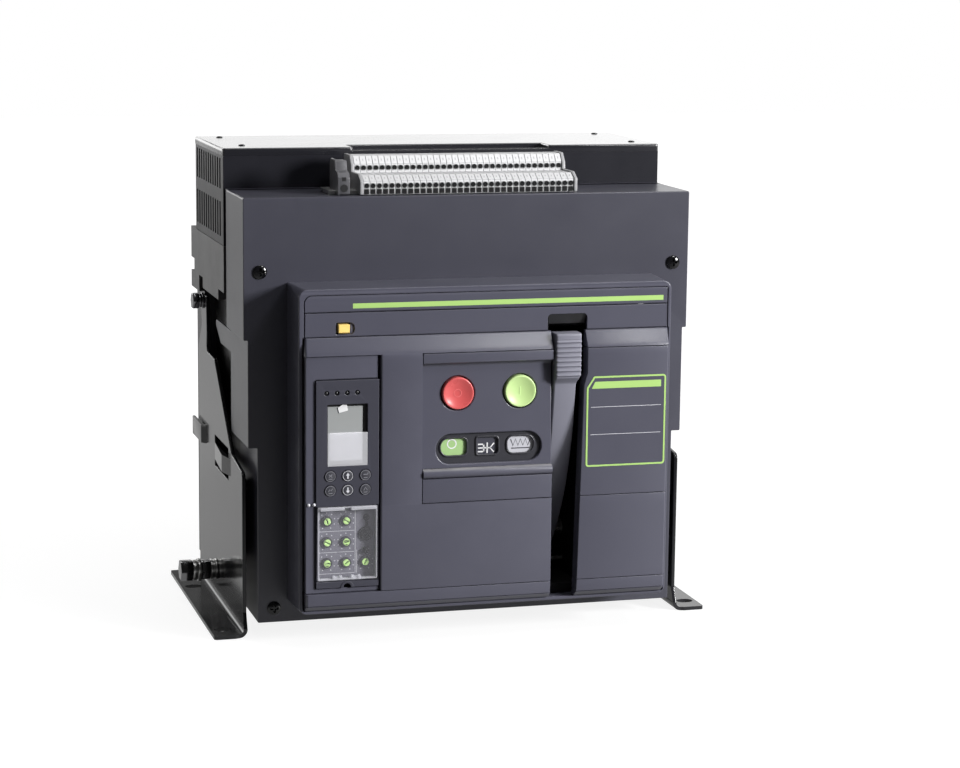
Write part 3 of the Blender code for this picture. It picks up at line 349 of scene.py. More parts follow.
plate_outlines = [rounded(plate_edge, plate_corners), *louvre_slots]
upright = side_slab(plate_outlines, soft(PLATE_OUT, PLATE_IN, 0.5, 0.5))
louvre_corners = [(178.4, 61), (PLATE_OUT, 61), (184.4, 81), (PLATE_OUT, 134), (178.4, 134)]
louvre_edge = rounded(louvre_corners, [0, 0, 3, 0, 0])
louvre = flat_slab([louvre_edge], straight(LOUVRE_LOW, LOUVRE_HIGH))
tab_edge = [
    (179.4, 177), (PLATE_OUT, 177), (184, 182), (184, 225.5), (181.6, 225.5), (181.6, 184.5), (179.4, 181),
]
tab = flat_slab([rounded(tab_edge, [0, 0, 2, 0.3, 0.3, 1, 0])], soft(138.8, 123.2, 0.3, 0.3))
fold_edge = [
    (FOLD_X, 0), (FOLD_X, SHEET), (PLATE_OUT, SHEET), (PLATE_OUT, FOLD_Z), (PLATE_IN, FOLD_Z), (PLATE_IN, 0),
]
fold = front_slab([rounded(fold_edge, [0, 0, 3.99, 0, 0, 6.99], 8)], straight(PLATE_FRONT, PLATE_BACK))
foot_slots = [rectangle(187.4, y - 5.5, 201.2, y + 5.5, 5.4, 8) for y in (24.3, 166.3)]
foot_corners = [
    (FOLD_X, PLATE_FRONT), (187.4, 5.0), (204.2, 5.0), (204.2, 226), (178.1, 226), (178.1, PLATE_BACK),
    (FOLD_X, PLATE_BACK),
]
foot_edge = rounded(foot_corners, [0, 2.0, 2.5, 2.5, 2.5, 0, 0], 8)
foot = flat_slab([foot_edge, *foot_slots], straight(SHEET, 0.0))
right_plate = joined(upright, louvre, tab, fold, foot)
piece("right_side_plate_skin", right_plate, black_coat, replaces=["right_side_plate"])
piece("left_side_plate_skin", mirrored(right_plate), black_coat, replaces=["left_side_plate"])

# Earth bolts. A plated bolt through each side plate: washers and a nut hold it, and the earth conductor's lug
# is clamped between the outer washers and the hexagon head.
zinc = finish(
    "zinc_plate", (0.50, 0.50, 0.49), 0.30, metallic=1.0, grain_depth=0.15, mottle=0.25, edge_wear=0.2
)
dark_steel = finish(
    "dark_steel", (0.16, 0.16, 0.165), 0.16, metallic=1.0, grain_depth=0.08, mottle=0.15, edge_wear=1.0
)
EARTH_PLACE = (PLATE_OUT, 128.0, 26.8)
EARTH_BORE = 4.9


def hexagon(radius, low, high):
    """A nut or bolt head: a hexagon prism with its corners chamfered at both ends."""
    edge = rounded(circle(0, 0, radius, 6), 0.3, 2)
    return slab([edge], soft(low, high, 0.9, 0.9, 2))


def washer(radius, bore, low, high):
    """A flat ring."""
    return slab([circle(0, 0, radius), circle(0, 0, bore)], soft(low, high, 0.25, 0.25, 2))


ring_rows = [(8.6, 0.2, 2.0), (7.8, 2.1, 3.8), (8.6, 3.9, 5.7), (9.4, 13.7, 16.5), (8.4, 16.7, 20.6)]
earth_rings = joined(*[washer(radius, EARTH_BORE, low, high) for radius, low, high in ring_rows])
earth_nuts = joined(hexagon(8.6, 5.8, 13.5), hexagon(9.2, 20.8, 31.0))
right_rings = moved(facing(earth_rings, "side"), *EARTH_PLACE)
right_nuts = moved(facing(earth_nuts, "side"), *EARTH_PLACE)
piece("earth_nuts_right", right_nuts, dark_steel, replaces=["earth_bolt_right"])
piece("earth_nuts_left", mirrored(right_nuts), dark_steel, replaces=["earth_bolt_left"])
piece("earth_washers", joined(right_rings, mirrored(right_rings)), zinc)

# Base. Two thermoset halves hold the poles; the shoulders carry the arc chambers and the side plates' bolts.
# Ribs on the back keep the phases apart.
base_skin = finish(
    "base_moulding_skin", (0.050, 0.049, 0.050), 0.40, specular=0.7, grain_depth=0.3, mottle=0.2, dust=0.15
)
BARRIER_X = 57.5
dress(base_skin, "front_base", "rear_base")
plate_bolt = joined(washer(6.6, 3.0, 0.1, 1.5), washer(5.8, 3.0, 1.6, 3.8), hexagon(7.2, 3.9, 9.5))
right_bolt = moved(facing(plate_bolt, "side"), PLATE_OUT, 187.0, 243.6)
piece("plate_bolts", joined(right_bolt, mirrored(right_bolt)), dark_steel)
rib = front_slab([rectangle(-2.5, 22, 2.5, 298, 1.0, 2)], soft(244.0, 235.5, 0.8))
phase_ribs = repeated(rib, [(x, 0, 0) for x in (-BARRIER_X, BARRIER_X)])
boss = moved(facing(turned([(0, 4.0), (5.2, 4.0), (6.0, 3.2), (6.0, -0.5), (0, -0.5)], 24), "front"), 0, 236.0)
bosses = repeated(boss, [(x, 0, z) for x in (-166, 166) for z in (40, 170, 285)])
piece("base_back_ribs", joined(phase_ribs, bosses), base_skin)

# Poles. Tin-plated copper bars and contacts, and black moulded transformers and links, held inside the base.
# The arc chutes above the contacts are stacks of plated steel plates.
tinned = finish("tinned_copper", (0.66, 0.58, 0.52), 0.34, metallic=1.0, grain_depth=0.2, mottle=0.25)
black_moulding_and_shade = finish("black_moulding_and_shade", (0.013, 0.013, 0.014), 0.36, grain_depth=0.3)
for pole in ("left", "centre", "right"):
    dress(tinned, f"line_terminal_{pole}", f"load_terminal_{pole}", f"moving_contact_{pole}")
    dress(black_moulding_and_shade, f"current_transformer_{pole}", f"drive_link_{pole}")
    dress(zinc, f"arc_chute_{pole}")

# Mechanism. A folded zinc-plated cage behind the front frame, with the pole shaft and closing spring of plated
# steel and two coils in black moulded bobbins.
dress(zinc, "mechanism_frame", "pole_shaft", "closing_spring")
dress(black_moulding_and_shade, "opening_coil", "closing_coil")

# Arc chamber box. A black thermoset box that stands on the base over the poles, open below, with a barrier
# between each two phases and two rows of vents moulded through each end wall.
box_black = finish(
    "box_moulding", (0.011, 0.011, 0.015), 0.34, specular=0.2, grain_depth=0.25, mottle=0.10, dust=0.05
)
BOX_X, BOX_FOOT, BOX_HEAD = 182.0, 301.8, 373.0
INNER_FRONT, INNER_BACK = 82.4, 207.8
VENTS, VENT_WIDTH, VENTED_FRONT, VENTED_LENGTH = 11, 5.2, 88.5, 118.0
vent_middles = VENTED_FRONT + VENTED_LENGTH / VENTS * (np.arange(VENTS) + 0.5)
vents = [
    rectangle(middle - VENT_WIDTH / 2, low, middle + VENT_WIDTH / 2, high, 0.8, 2)
    for low, high in ((308, 336), (346, 370.5))
    for middle in vent_middles
]
end_wall = side_slab([rectangle(INNER_FRONT, BOX_FOOT, INNER_BACK, BOX_HEAD), *vents], soft(BOX_X, 179, 0.25))
front_wall = front_slab([rectangle(-BOX_X, BOX_FOOT, BOX_X, 373.3)], soft(79.2, 82.2, 0.3))
back_wall = front_slab([rectangle(-BOX_X, BOX_FOOT, BOX_X, BOX_HEAD)], soft(210.8, INNER_BACK, 1.0))
barrier = side_slab([rectangle(INNER_FRONT, BOX_FOOT, INNER_BACK, BOX_HEAD)], straight(-2, 2))
box_walls = joined(
    end_wall, mirrored(end_wall), front_wall, back_wall, moved(barrier, BARRIER_X), moved(barrier, -BARRIER_X)
)
piece("arc_chamber_box", box_walls, box_black, replaces=["arc_chamber_housing"], sharp=15.0)

# Arc chamber lid. A flat glossy moulded lid with rounded edges, screwed down on the box. A shallow step is sunk
# in its front edge behind the control terminals.
LID_X, LID_FRONT, LID_BACK, LID_TOP = 182.5, 79.0, 211.3, 379.2
STEP_LEFT, STEP_RIGHT, STEP_BACK, STEP_Z = -77, 87, 102, 376.2
lid_edge = rounded(
    [
        (-LID_X, LID_FRONT), (STEP_LEFT, LID_FRONT), (STEP_LEFT, STEP_BACK), (STEP_RIGHT, STEP_BACK),
        (STEP_RIGHT, LID_FRONT), (LID_X, LID_FRONT), (LID_X, LID_BACK), (-LID_X, LID_BACK),
    ],
    [2.5, 2.0, 1, 1, 2.0, 2.5, 2.5, 2.5],
)
lid = flat_slab([lid_edge], soft(LID_TOP, STEP_Z, 1.2))
lid_lower = flat_slab([rectangle(-LID_X, LID_FRONT, LID_X, LID_BACK, 2.5)], straight(373.3, STEP_Z))
lid_skin = finish(
    "lid_moulding", (0.011, 0.011, 0.015), 0.22, coat=1.0, grain_depth=0.05, mottle=0.05, dust=0.05
)
piece("arc_chamber_lid", joined(lid, lid_lower), lid_skin, replaces=["arc_chamber_cover"])

# Front frame. A stepped thermoset shell over the mechanism, with a window behind the facia, side lugs that
# lie beside the base, and four cross-recess screws.
charcoal = finish(
    "charcoal_moulding", (0.047, 0.047, 0.063), 0.30, specular=0.6, grain_depth=0.2, mottle=0.08, dust=0.0
)
frame_half = [(170.5, 13), (170.5, 152.7), (177.7, 152.7), (177.7, 237.4), (181, 237.4), (181, 347.4)]
frame_edge = frame_half + [(-x, z) for x, z in frame_half[::-1]]
frame_radii = [0.8, 0.6, 0.8, 0.6, 0.8, 1.2]
frame_path = rounded(frame_edge, frame_radii + frame_radii[::-1], 2)
frame_inside = rounded(drawn_in(np.array(frame_edge), 3.0), 0.5, 2)
window = rectangle(-140, 36, 145, 276, 1.0)
face = front_slab([frame_path, window], soft(0.0, 3.2, 0.7, steps=2))
shell = front_slab([frame_path, frame_inside], straight(3.25, 73.0))
top_ledge = flat_slab([rectangle(-180.5, 66, 180.5, 78.9)], soft(347.4, 344.4, 0.3))
low_ledge = flat_slab([rectangle(-170, 66, 170, 78.9)], soft(13.0, 16.0, 0.3))
lug_edge = rounded([(67, 217.2), (120, 217.2), (152, 234.2), (67, 234.2)], [0, 3, 3, 0])
lug = side_slab([lug_edge], soft(177.5, 174.9, 0.5, 0.5))
frame_shell = joined(face, shell, top_ledge, low_ledge, lug, mirrored(lug))
piece("front_frame_shell", frame_shell, charcoal, replaces=["front_frame"], sharp=15.0)

# Control terminals. Thirty-four terminal blocks of light grey polyamide snapped on a steel rail, each with two
# screw holes, a wire opening and two white markers; end plates close the row and a dark stop clamps it.
polyamide = finish("grey_polyamide", (0.52, 0.52, 0.53), 0.45, grain_depth=0.2, edge_wear=0.2)


def print_finish(name, colour, roughness):
    """A printed or printable finish, with no wear at its edges."""
    return finish(name, colour, roughness, grain_depth=0.1, edge_wear=0.0)


marker_white = print_finish("marker_white", (0.60, 0.60, 0.61), 0.45)
plate_grey = finish("end_plate_grey", (0.30, 0.30, 0.31), 0.45, grain_depth=0.2)
dress(zinc, "terminal_rail")
WAYS, WAY_PITCH, FIRST_WAY = 34, 5.02, -82.9
RAIL_Z = 348.0
block_side = [
    (5.2, RAIL_Z), (5.2, 357.9), (13.2, 362.3), (37.6, 362.3), (38.0, 368.4), (43.6, 375.2), (60.0, 375.2),
    (61.8, 373.4), (61.8, RAIL_Z),
]
block = side_slab([rounded(block_side, 0.5, 2)], soft(-2.4, 2.4, 0.25, 0.25, 1))
way_offsets = [(FIRST_WAY + WAY_PITCH * way, 0, 0) for way in range(WAYS)]
hole_rim = slab([circle(0, 0, 2.2, 20), circle(0, 0, 1.85, 20)], soft(-0.35, 0.2, 0.15, steps=1))
HOLE_PLACES = [(0, 5.2, 354.9), (0, 37.9, 366.0)]
blocks = repeated(joined(block, repeated(facing(hole_rim, "front"), HOLE_PLACES)), way_offsets)
piece("terminal_blocks", blocks, polyamide, replaces=["terminal_block"])
# The screw holes and the wire opening are near-black discs and a near-black patch on the blocks: painted shade
# for their hollows
hole_shade_disc = slab([circle(0, 0, 1.9, 20)], straight(-0.16, 0.3))
mouth_shade = front_slab([rectangle(-2.0, 348.4, 2.0, 352.4, 0.4, 2)], straight(5.05, 5.4))
hole_shades = joined(repeated(facing(hole_shade_disc, "front"), HOLE_PLACES), mouth_shade)
black_and_hole_shade = finish("black_and_hole_shade", (0.004, 0.004, 0.005), 0.6, specular=0.2, grain_depth=0.0, edge_wear=0.0)
piece("terminal_hole_shades", repeated(hole_shades, way_offsets), black_and_hole_shade)


def laid(height, low, high):
    """A thin strip 4.6 mm wide on the sloping face between two points (y, z) of a block's side: both points,
    and both again at a height along the face's normal."""
    low, high = np.array(low, float), np.array(high, float)
    out = np.array([low[1] - high[1], high[0] - low[0]]) / np.linalg.norm(high - low) * height
    return side_slab([np.array([low, high, high + out, low + out])], soft(-2.3, 2.3, 0.1, 0.1, 1))


markers = joined(laid(0.5, (5.6, 358.15), (12.9, 362.15)), laid(0.5, (38.4, 368.9), (43.2, 374.7)))
piece("terminal_markers", repeated(markers, way_offsets), marker_white)
tick = joined(laid(0.56, (8.4, 359.7), (10.2, 360.7)), laid(0.56, (40.2, 371.1), (41.4, 372.6)))
narrow = tick[0] * (0.14, 1, 1), tick[1]
piece("terminal_marks", repeated(narrow, way_offsets), plate_grey)
end_side = [
    (4.2, RAIL_Z), (4.2, 358.6), (12.6, 363.4), (36.4, 363.4), (37.0, 369.0), (42.8, 375.9), (60.6, 375.9),
    (62.6, 374.0), (62.6, RAIL_Z),
]
end_plates = [
    side_slab([rounded(end_side, 1.2, 4)], soft(left, left + 2.6, 0.4, 0.4, 2)) for left in (-88.2, 85.4)
]
piece("terminal_end_plates", joined(*end_plates), plate_grey)
stop_corners = [
    (8, RAIL_Z), (8, 361), (11, 365), (17, 366), (20, 373.5), (32, 373.5), (35, 371), (35, RAIL_Z)
]
stop_side = rounded(stop_corners, 1.4, 4)
stop_body = side_slab([stop_side], soft(-105.0, -95.4, 0.8, 0.8))
stop_rib = side_slab([drawn_in(stop_side, 1.2)], soft(-105.5, -104.0, 0.5))
stop_grey = finish("stop_grey", (0.065, 0.065, 0.072), 0.38, grain_depth=0.25)
piece("terminal_stop", joined(stop_body, stop_rib), stop_grey, replaces=["terminal_end_stop"])
stop_screw = front_slab([circle(-100.2, 353.0, 3.0)], straight(7.8, 8.4))
stop_slit = front_slab([rectangle(-101.8, 358.5, -98.6, 361.5)], straight(7.9, 8.6))
piece("terminal_stop_screw", joined(stop_screw, stop_slit), black_moulding_and_shade)

# Facia. A moulded panel that stands 54 mm proud of the frame: a rounded rim, a header strip, a band, a slope
# and a raised field cut for the controls, all in dark bluish plastic with fine seams between the mouldings.
facia_skin = finish("facia_moulding", (0.0715, 0.0715, 0.097), 0.30, grain_depth=0.25, mottle=0.08)
RIM_Y, FIELD_Y, BACK_Y = -46.0, -54.0, -42.0
FIELD_LEFT, COLUMN_RIGHT, SLOT_LEFT, FIELD_RIGHT = -143.2, -85.0, 52.4, 146.9
SLOPE_FOOT, SLOPE_HEAD, SLOPE_RISE, SLOPE_BEND = 232.0, 245.0, 0.61, 1.6


def slot_right(z):
    """Right edge of the handle's slot: widest beside the grip, drawn in below it."""
    return np.interp(z, [34.5, 203.0, 212.0], [73.7, 77.4, 80.1])


def field(z):
    """The field's depth: flat, with a soft fall back to the rim at the bottom."""
    return np.interp(z, [33.0, 37.4, 47.5], [-47.5, -53.4, FIELD_Y])


def slope(z):
    """The band that leans back from the field's top edge to the rim's plane, with a soft bend between them:
    field + rise * bend * log(1 + exp((z - foot) / bend))."""
    return FIELD_Y + SLOPE_RISE * SLOPE_BEND * np.logaddexp(0.0, (z - SLOPE_FOOT) / SLOPE_BEND)


def patch(left, right, low, high, depth, radii, rows=2):
    """A block of the facia: y = depth(z) + e(distance from each side), e(t) = r - sqrt(r^2 - (r - t)^2), on a
    grid whose left and right lines may follow z; straight walls run back from its edge. The radii are those
    of the left, right, low and high sides."""
    eases = [radius * (1 - np.cos(np.linspace(0.0, math.pi / 2, 5))) for radius in radii]
    between = np.linspace(low + radii[2], high - radii[3], rows + 1)[1:-1]
    lines_z = np.concatenate([low + eases[2], between, high - eases[3][::-1]])
    lefts = np.broadcast_to(left(lines_z) if callable(left) else left, lines_z.shape)
    rights = np.broadcast_to(right(lines_z) if callable(right) else right, lines_z.shape)
    x = np.concatenate([lefts[:, None] + eases[0], rights[:, None] - eases[1][::-1]], 1)

    def ease(distance, radius):
        """The rounding e(t) of the docstring above."""
        return radius - np.sqrt(np.maximum(radius**2 - np.maximum(radius - distance, 0.0) ** 2, 0.0))

    y = depth(lines_z)[:, None] + ease(x - lefts[:, None], radii[0]) + ease(rights[:, None] - x, radii[1])
    y = y + ease(lines_z - low, radii[2])[:, None] + ease(high - lines_z, radii[3])[:, None]
    front = np.stack([x, y, np.broadcast_to(lines_z[:, None], x.shape)], -1)
    rows_z, columns = x.shape
    index = np.arange(rows_z * columns).reshape(rows_z, columns)
    quads = np.stack([index[:-1, :-1], index[:-1, 1:], index[1:, 1:], index[1:, :-1]], -1).reshape(-1, 4)
    border = np.concatenate([index[0, :-1], index[:-1, -1], index[-1, :0:-1], index[:0:-1, 0]])
    behind = front.reshape(-1, 3)[border] * (1, 0, 1) + (0, BACK_Y, 0)
    first = rows_z * columns
    ring = first + np.arange(len(border))
    walls = np.stack([border, np.roll(border, -1), np.roll(ring, -1), ring], -1)
    return np.concatenate([front.reshape(-1, 3), behind]), [quads, walls, ring[None, ::-1]]


def slope_left(z):
    """The slope's left end, which draws in as it leans back."""
    return np.interp(z, [SLOPE_FOOT, SLOPE_HEAD], [-143.9, -142.6])


def slope_right(z):
    """The slope's right end, which spreads as it leans back."""
    return np.interp(z, [SLOPE_FOOT, SLOPE_HEAD], [FIELD_RIGHT, 148.1])


rim_outer = rectangle(-147.2, 29.7, 150.8, 282.0, 6.5, 8)
rim_inner = rounded(
    [
        (-144.5, 32.4), (149.0, 32.4), (149.0, 245.2), (148.2, 245.2), (148.2, 277.5), (-143.3, 277.5),
        (-143.3, 245.2), (-144.5, 245.2),
    ],
    [2, 2, 0.3, 0.3, 2, 6, 0.3, 0.3],
)
rim_foot = rectangle(-146.9, 29.7, 150.8, 282.0, 1.5, 8)
rim_levels = soft(RIM_Y, -0.3, 0.9, steps=5)
rim = front_slab([rim_outer, rim_inner], rim_levels, soft(RIM_Y, -0.3, 0.4, steps=5), rim_foot)
header_edge = rounded([(-142.6, 264.3), (147.6, 264.3), (147.6, 277.0), (-142.6, 277.0)], [0.3, 0.3, 1.6, 5.4])
header = front_slab([header_edge], soft(RIM_Y + 0.3, BACK_Y, 0.4))
band_edge = rounded(
    [
        (-142.6, 245.4), (49.6, 245.4), (49.6, 258.0), (81.6, 258.0), (81.6, 245.4), (147.6, 245.4),
        (147.6, 263.7), (-142.6, 263.7),
    ],
    [0.3, 0.3, 3, 3, 0.3, 0.3, 0.3, 0.3],
)
reset_well = rounded([(-118.5, 246.9), (-103.9, 246.9), (-103.9, 256.3), (-118.5, 256.3)], [0.8, 4.2, 4.2, 0.8])
band = front_slab([band_edge, reset_well], soft(RIM_Y + 0.3, BACK_Y, 0.4))
column_edge = rounded(
    [
        (FIELD_LEFT, 47.6), (-85.9, 47.6), (-85.9, 51.0), (-136.1, 51.0), (-136.1, 213.8), (-86.9, 213.8),
        (-86.9, 231.8), (FIELD_LEFT, 231.8),
    ],
    [1.0, 0.3, 0.3, 0.3, 0.3, 0.3, 0.3, 0.3],
)
column = front_slab([column_edge], soft(-51.2, BACK_Y, 0.4))
left_patches = [
    patch(slope_left, SLOT_LEFT, SLOPE_FOOT, SLOPE_HEAD, slope, (2.0, 0.6, 0.0, 0.4), rows=20),
    patch(COLUMN_RIGHT, -52.4, 114.3, SLOPE_FOOT, slope, (1.6, 0.0, 0.0, 0.0), rows=180),
    patch(COLUMN_RIGHT, SLOT_LEFT, 47.6, 114.3, field, (1.6, 0.6, 0.4, 0.0)),
    patch(-51.9, 52.2, 223.6, 231.3, field, (0.4, 0.6, 0.8, 0.4)),
    patch(-51.9, 52.2, 114.9, 133.4, field, (0.4, 0.6, 0.4, 0.5)),
]
right_patches = [
    patch(slot_right, FIELD_RIGHT, low, high, field, (0.6, 1.5, 0.4, 0.4), rows=rows)
    for low, high, rows in ((114.9, 231.7, 24), (47.6, 114.4, 8), (37.8, 47.1, 2), (33.0, 37.4, 2))
]
right_patches.append(patch(80.1, slope_right, 232.2, SLOPE_HEAD, slope, (0.6, 0.8, 0.3, 0.4), rows=8))
foot_patches = [
    patch(FIELD_LEFT, SLOT_LEFT, low, high, field, (2.0, 0.6, 0.4, 0.4))
    for low, high in ((37.8, 47.1), (33.0, 37.4))
]
panel = joined(rim, header, band, column, *left_patches, *right_patches, *foot_patches)
piece("facia_panel", panel, facia_skin, replaces=["front_panel"])

# Control recess. A sunk floor moulded in the facia's plastic that leans forward towards its foot: it holds the
# two push buttons and the pocket of the indicator windows. Its top is coved, and a half-round ridge runs below.
FLOOR_FOOT, FLOOR_HEAD = np.array([0.0, -50.8, 141.0]), np.array([0.0, -47.2, 225.5])
floor_up = (FLOOR_HEAD - FLOOR_FOOT) / np.linalg.norm(FLOOR_HEAD - FLOOR_FOOT)
floor_in = np.array([0.0, floor_up[2], -floor_up[1]])


def leaning(shape):
    """A shape drawn as (x, height, depth) set on the leaning floor: foot + up * height + in * depth."""
    across, height, depth = shape[0].T[:, :, None]
    points = across * (1.0, 0.0, 0.0) + FLOOR_FOOT + (height - FLOOR_FOOT[2]) * floor_up + depth * floor_in
    return points, shape[1]


OFF_X, ON_X, BUTTON_Z, BUTTON_RADIUS = -23.1, 26.9, 199.2, 12.6
RECESS_BACK, RECESS_TOP = -46.6, 225.0
pocket = rectangle(-40.5, 144.0, 44.4, 167.5, 11.7, 12)
button_holes = [circle(x, BUTTON_Z, BUTTON_RADIUS + 1.0, 48) for x in (OFF_X, ON_X)]
recess_edges = [rectangle(-52.3, 141.0, 52.3, RECESS_TOP), pocket, *button_holes]
recess_floor = leaning(slab(recess_edges, soft(0.0, 3.0, 0.5), soft(0.0, 3.0, 1.0, steps=4)))
COVE_Y, COVE_Z, COVE_RADIUS = -52.6, 219.6, 5.2
cove_turn = np.linspace(0.0, math.pi / 2, 9)
cove_arc = np.column_stack([COVE_Y + COVE_RADIUS * np.cos(cove_turn), COVE_Z + COVE_RADIUS * np.sin(cove_turn)])
cove_edge = np.concatenate([cove_arc, [(COVE_Y, RECESS_TOP), (RECESS_BACK, RECESS_TOP), (RECESS_BACK, COVE_Z)]])
cove = side_slab([cove_edge], straight(-52.2, 52.2))
RIDGE_Y, RIDGE_Z, RIDGE_DEPTH, RIDGE_HALF = -52.0, 137.3, 3.9, 3.6
ridge_turn = np.linspace(0.0, math.pi, 15)
ridge_y, ridge_z = RIDGE_Y - RIDGE_DEPTH * np.sin(ridge_turn), RIDGE_Z - RIDGE_HALF * np.cos(ridge_turn)
ridge_back = [(RECESS_BACK, RIDGE_Z + RIDGE_HALF), (RECESS_BACK, RIDGE_Z - RIDGE_HALF)]
ridge_edge = np.concatenate([np.column_stack([ridge_y, ridge_z]), ridge_back])
ridge_bar = side_slab([ridge_edge], soft(-51.6, 52.2, 0.3, 0.3))
# The ridge's finish is a lighter copy of the facia's, with a strong pale tint on its upward faces: a painted
# highlight along the ridge's top
ridge_highlight_skin = finish("ridge_painted_highlight", (0.080, 0.080, 0.106), 0.30, grain_depth=0.15, mottle=0.06, dust=0.7)
piece("control_recess", joined(recess_floor, cove), facia_skin)
piece("control_ridge", ridge_bar, ridge_highlight_skin)

# Handle slot. A near-black channel fixed behind the facia, open to the front, that the charging handle swings
# in; its colour is painted shade for the depth of the slot. A finger scoop is moulded above it.
channel_side = rectangle(-43.0, 33.0, 31.0, 259.0)
channel_walls = [
    side_slab([channel_side], straight(50.2, 50.9)),
    side_slab([channel_side], straight(81.6, 82.3)),
    front_slab([rectangle(50.2, 33.0, 82.3, 259.0)], straight(30.3, 31.0)),
    flat_slab([rectangle(50.5, -34.6, 82.0, 30.6)], straight(39.3, 40.0)),
    front_slab([rectangle(50.5, 33.0, 82.0, 40.0)], straight(-35.3, -34.6)),
]
slot_shade = finish("slot_shade", (0.004, 0.004, 0.005), 0.7, specular=0.15, grain_depth=0.0, edge_wear=0.0)
piece("handle_channel", joined(*channel_walls), slot_shade)
scoop_edge = [(-43.0, 258.4), (-44.5, 258.4), (-41.0, 250.0), (-33.0, 246.0), (-20.0, 246.0), (-20.0, 258.4)]
piece("handle_scoop", side_slab([scoop_edge], straight(49.8, 81.4)), black_moulding_and_shade)

# Header line and rating plate. A lime line printed across the header, and a dark rating plate with a lime
# border, a lime bar and pale rules on the field right of the handle.
lime_print = print_finish("lime_print", (0.37, 0.58, 0.17), 0.38)
pale_print = print_finish("pale_print", (0.62, 0.62, 0.66), 0.45)
plate_face = print_finish("rating_plate_face", (0.060, 0.060, 0.084), 0.38)


def printed(outlines, y, height=0.08):
    """A flat print that stands a little proud of the face at depth y."""
    return front_slab(outlines, straight(y - height, y))


header_line = printed([rectangle(-105.3, 266.9, 144.2, 270.7, 0.2)], RIM_Y + 0.3)
rating_edge = rounded(
    [(79.6, 137.6), (144.9, 137.6), (144.9, 209.3), (85.4, 209.3), (79.6, 200.2)], [2.5, 2.5, 2.5, 2.0, 2.0]
)
rating_border = printed([rating_edge, drawn_in(rating_edge, 1.35)], FIELD_Y, 0.3)
RATING_Y = FIELD_Y - 0.2
bar_edge = rounded([(83.6, 199.6), (140.8, 199.6), (140.8, 205.0), (86.4, 205.0)], 0.3)
rating_bar = printed([bar_edge], RATING_Y, 0.1)
piece("lime_printing", joined(header_line, rating_border, rating_bar), lime_print)
piece("rating_plate", printed([drawn_in(rating_edge, 1.2)], FIELD_Y, 0.2), plate_face)
rating_rules = [printed([rectangle(83.2, z, 141.0, z + 0.35)], RATING_Y, 0.06) for z in (184.8, 163.0)]
piece("rating_rules", joined(*rating_rules), pale_print)

# Trip unit. The electronic release: a dark moulded module clipped into the facia's left column, with a display
# behind a window, four signal lamps, six round keys and a well of setting dials.
unit_skin = finish("trip_unit_moulding", (0.036, 0.036, 0.051), 0.40, grain_depth=0.25, mottle=0.06)
UNIT_Y, WELL_Y = -53.0, -45.0
key_places = [(x, z) for z in (139.3, 128.1) for x in (-124.4, -110.8, -97.0)]
lamp_places = [(x, 203.4) for x in (-127.2, -119.2, -111.2, -103.3)]
unit_holes = [circle(x, z, 4.5, 28) for x, z in key_places] + [circle(x, z, 1.8, 16) for x, z in lamp_places]
unit_holes += [rectangle(-126.6, 147.2, -95.2, 194.6, 0.4, 2), rectangle(-134.7, 56.5, -87.0, 115.6, 0.4, 2)]
NOTCH_X, UNIT_FOOT = -111.0, 51.6
notch_turn = np.linspace(math.pi, 0.0, 13)
notch_arc = np.column_stack([3.0 * np.cos(notch_turn), 3.4 * np.sin(notch_turn)])
finger_notch = notch_arc + (NOTCH_X, UNIT_FOOT)
unit_corners = [(-86.3, UNIT_FOOT), (-86.3, 213.2), (-135.5, 213.2), (-135.5, UNIT_FOOT)]
unit_edge = np.concatenate([finger_notch, rounded(unit_corners, 0.6)])
unit_face = front_slab([unit_edge, *unit_holes], soft(UNIT_Y, BACK_Y, 0.4))
notch_arch = np.concatenate([notch_arc * (1.75, 1.55) + (NOTCH_X, UNIT_FOOT), finger_notch[::-1]])
arch = front_slab([notch_arch], soft(UNIT_Y - 0.5, UNIT_Y, 0.3))
well_floor = front_slab([rectangle(-135.2, 55.9, -86.5, 116.2)], straight(WELL_Y, -43.5))
piece("trip_unit_module", joined(unit_face, arch), unit_skin, replaces=["trip_unit"])
well_skin = finish("dial_well", (0.140, 0.136, 0.170), 0.45, grain_depth=0.2)
piece("dial_well_floor", well_floor, well_skin)
# A black backing behind the left column, which closes the gaps around it with painted shade
column_back = front_slab([rectangle(-145.6, 31.0, -84.0, 244.0, 1.0)], straight(-41.2, -40.6))
piece("facia_column_back", column_back, black_moulding_and_shade)

# Signal lamps and display. Dark lenses in the holes above the display. The display is a grey glass cell in a
# black surround, with a painted reflection over its lower part, a pale sheet under a pale veil, and a white
# pull tab at its top.
dome = turned([(0, -52.4), (0.8, -52.3), (1.4, -51.8), (1.65, -50.8), (1.65, -48.0), (0, -48.0)], 16)
lenses = repeated(facing(dome, "front"), [(x, 0, z) for x, z in lamp_places])
surround = front_slab([rectangle(-127.5, 146.5, -94.5, 195.5)], straight(-49.3, -48.0))
piece("signal_lamps", joined(lenses, surround), black_moulding_and_shade)
cell_glass = finish("display_cell", (0.31, 0.32, 0.32), 0.18, grain_depth=0.0, mottle=0.04, edge_wear=0.0)
cell = front_slab([rectangle(-125.9, 147.8, -98.6, 192.6, 0.3, 2)], soft(-50.3, -49.3, 0.2))
piece("display_cell", cell, cell_glass, replaces=["display_window"])


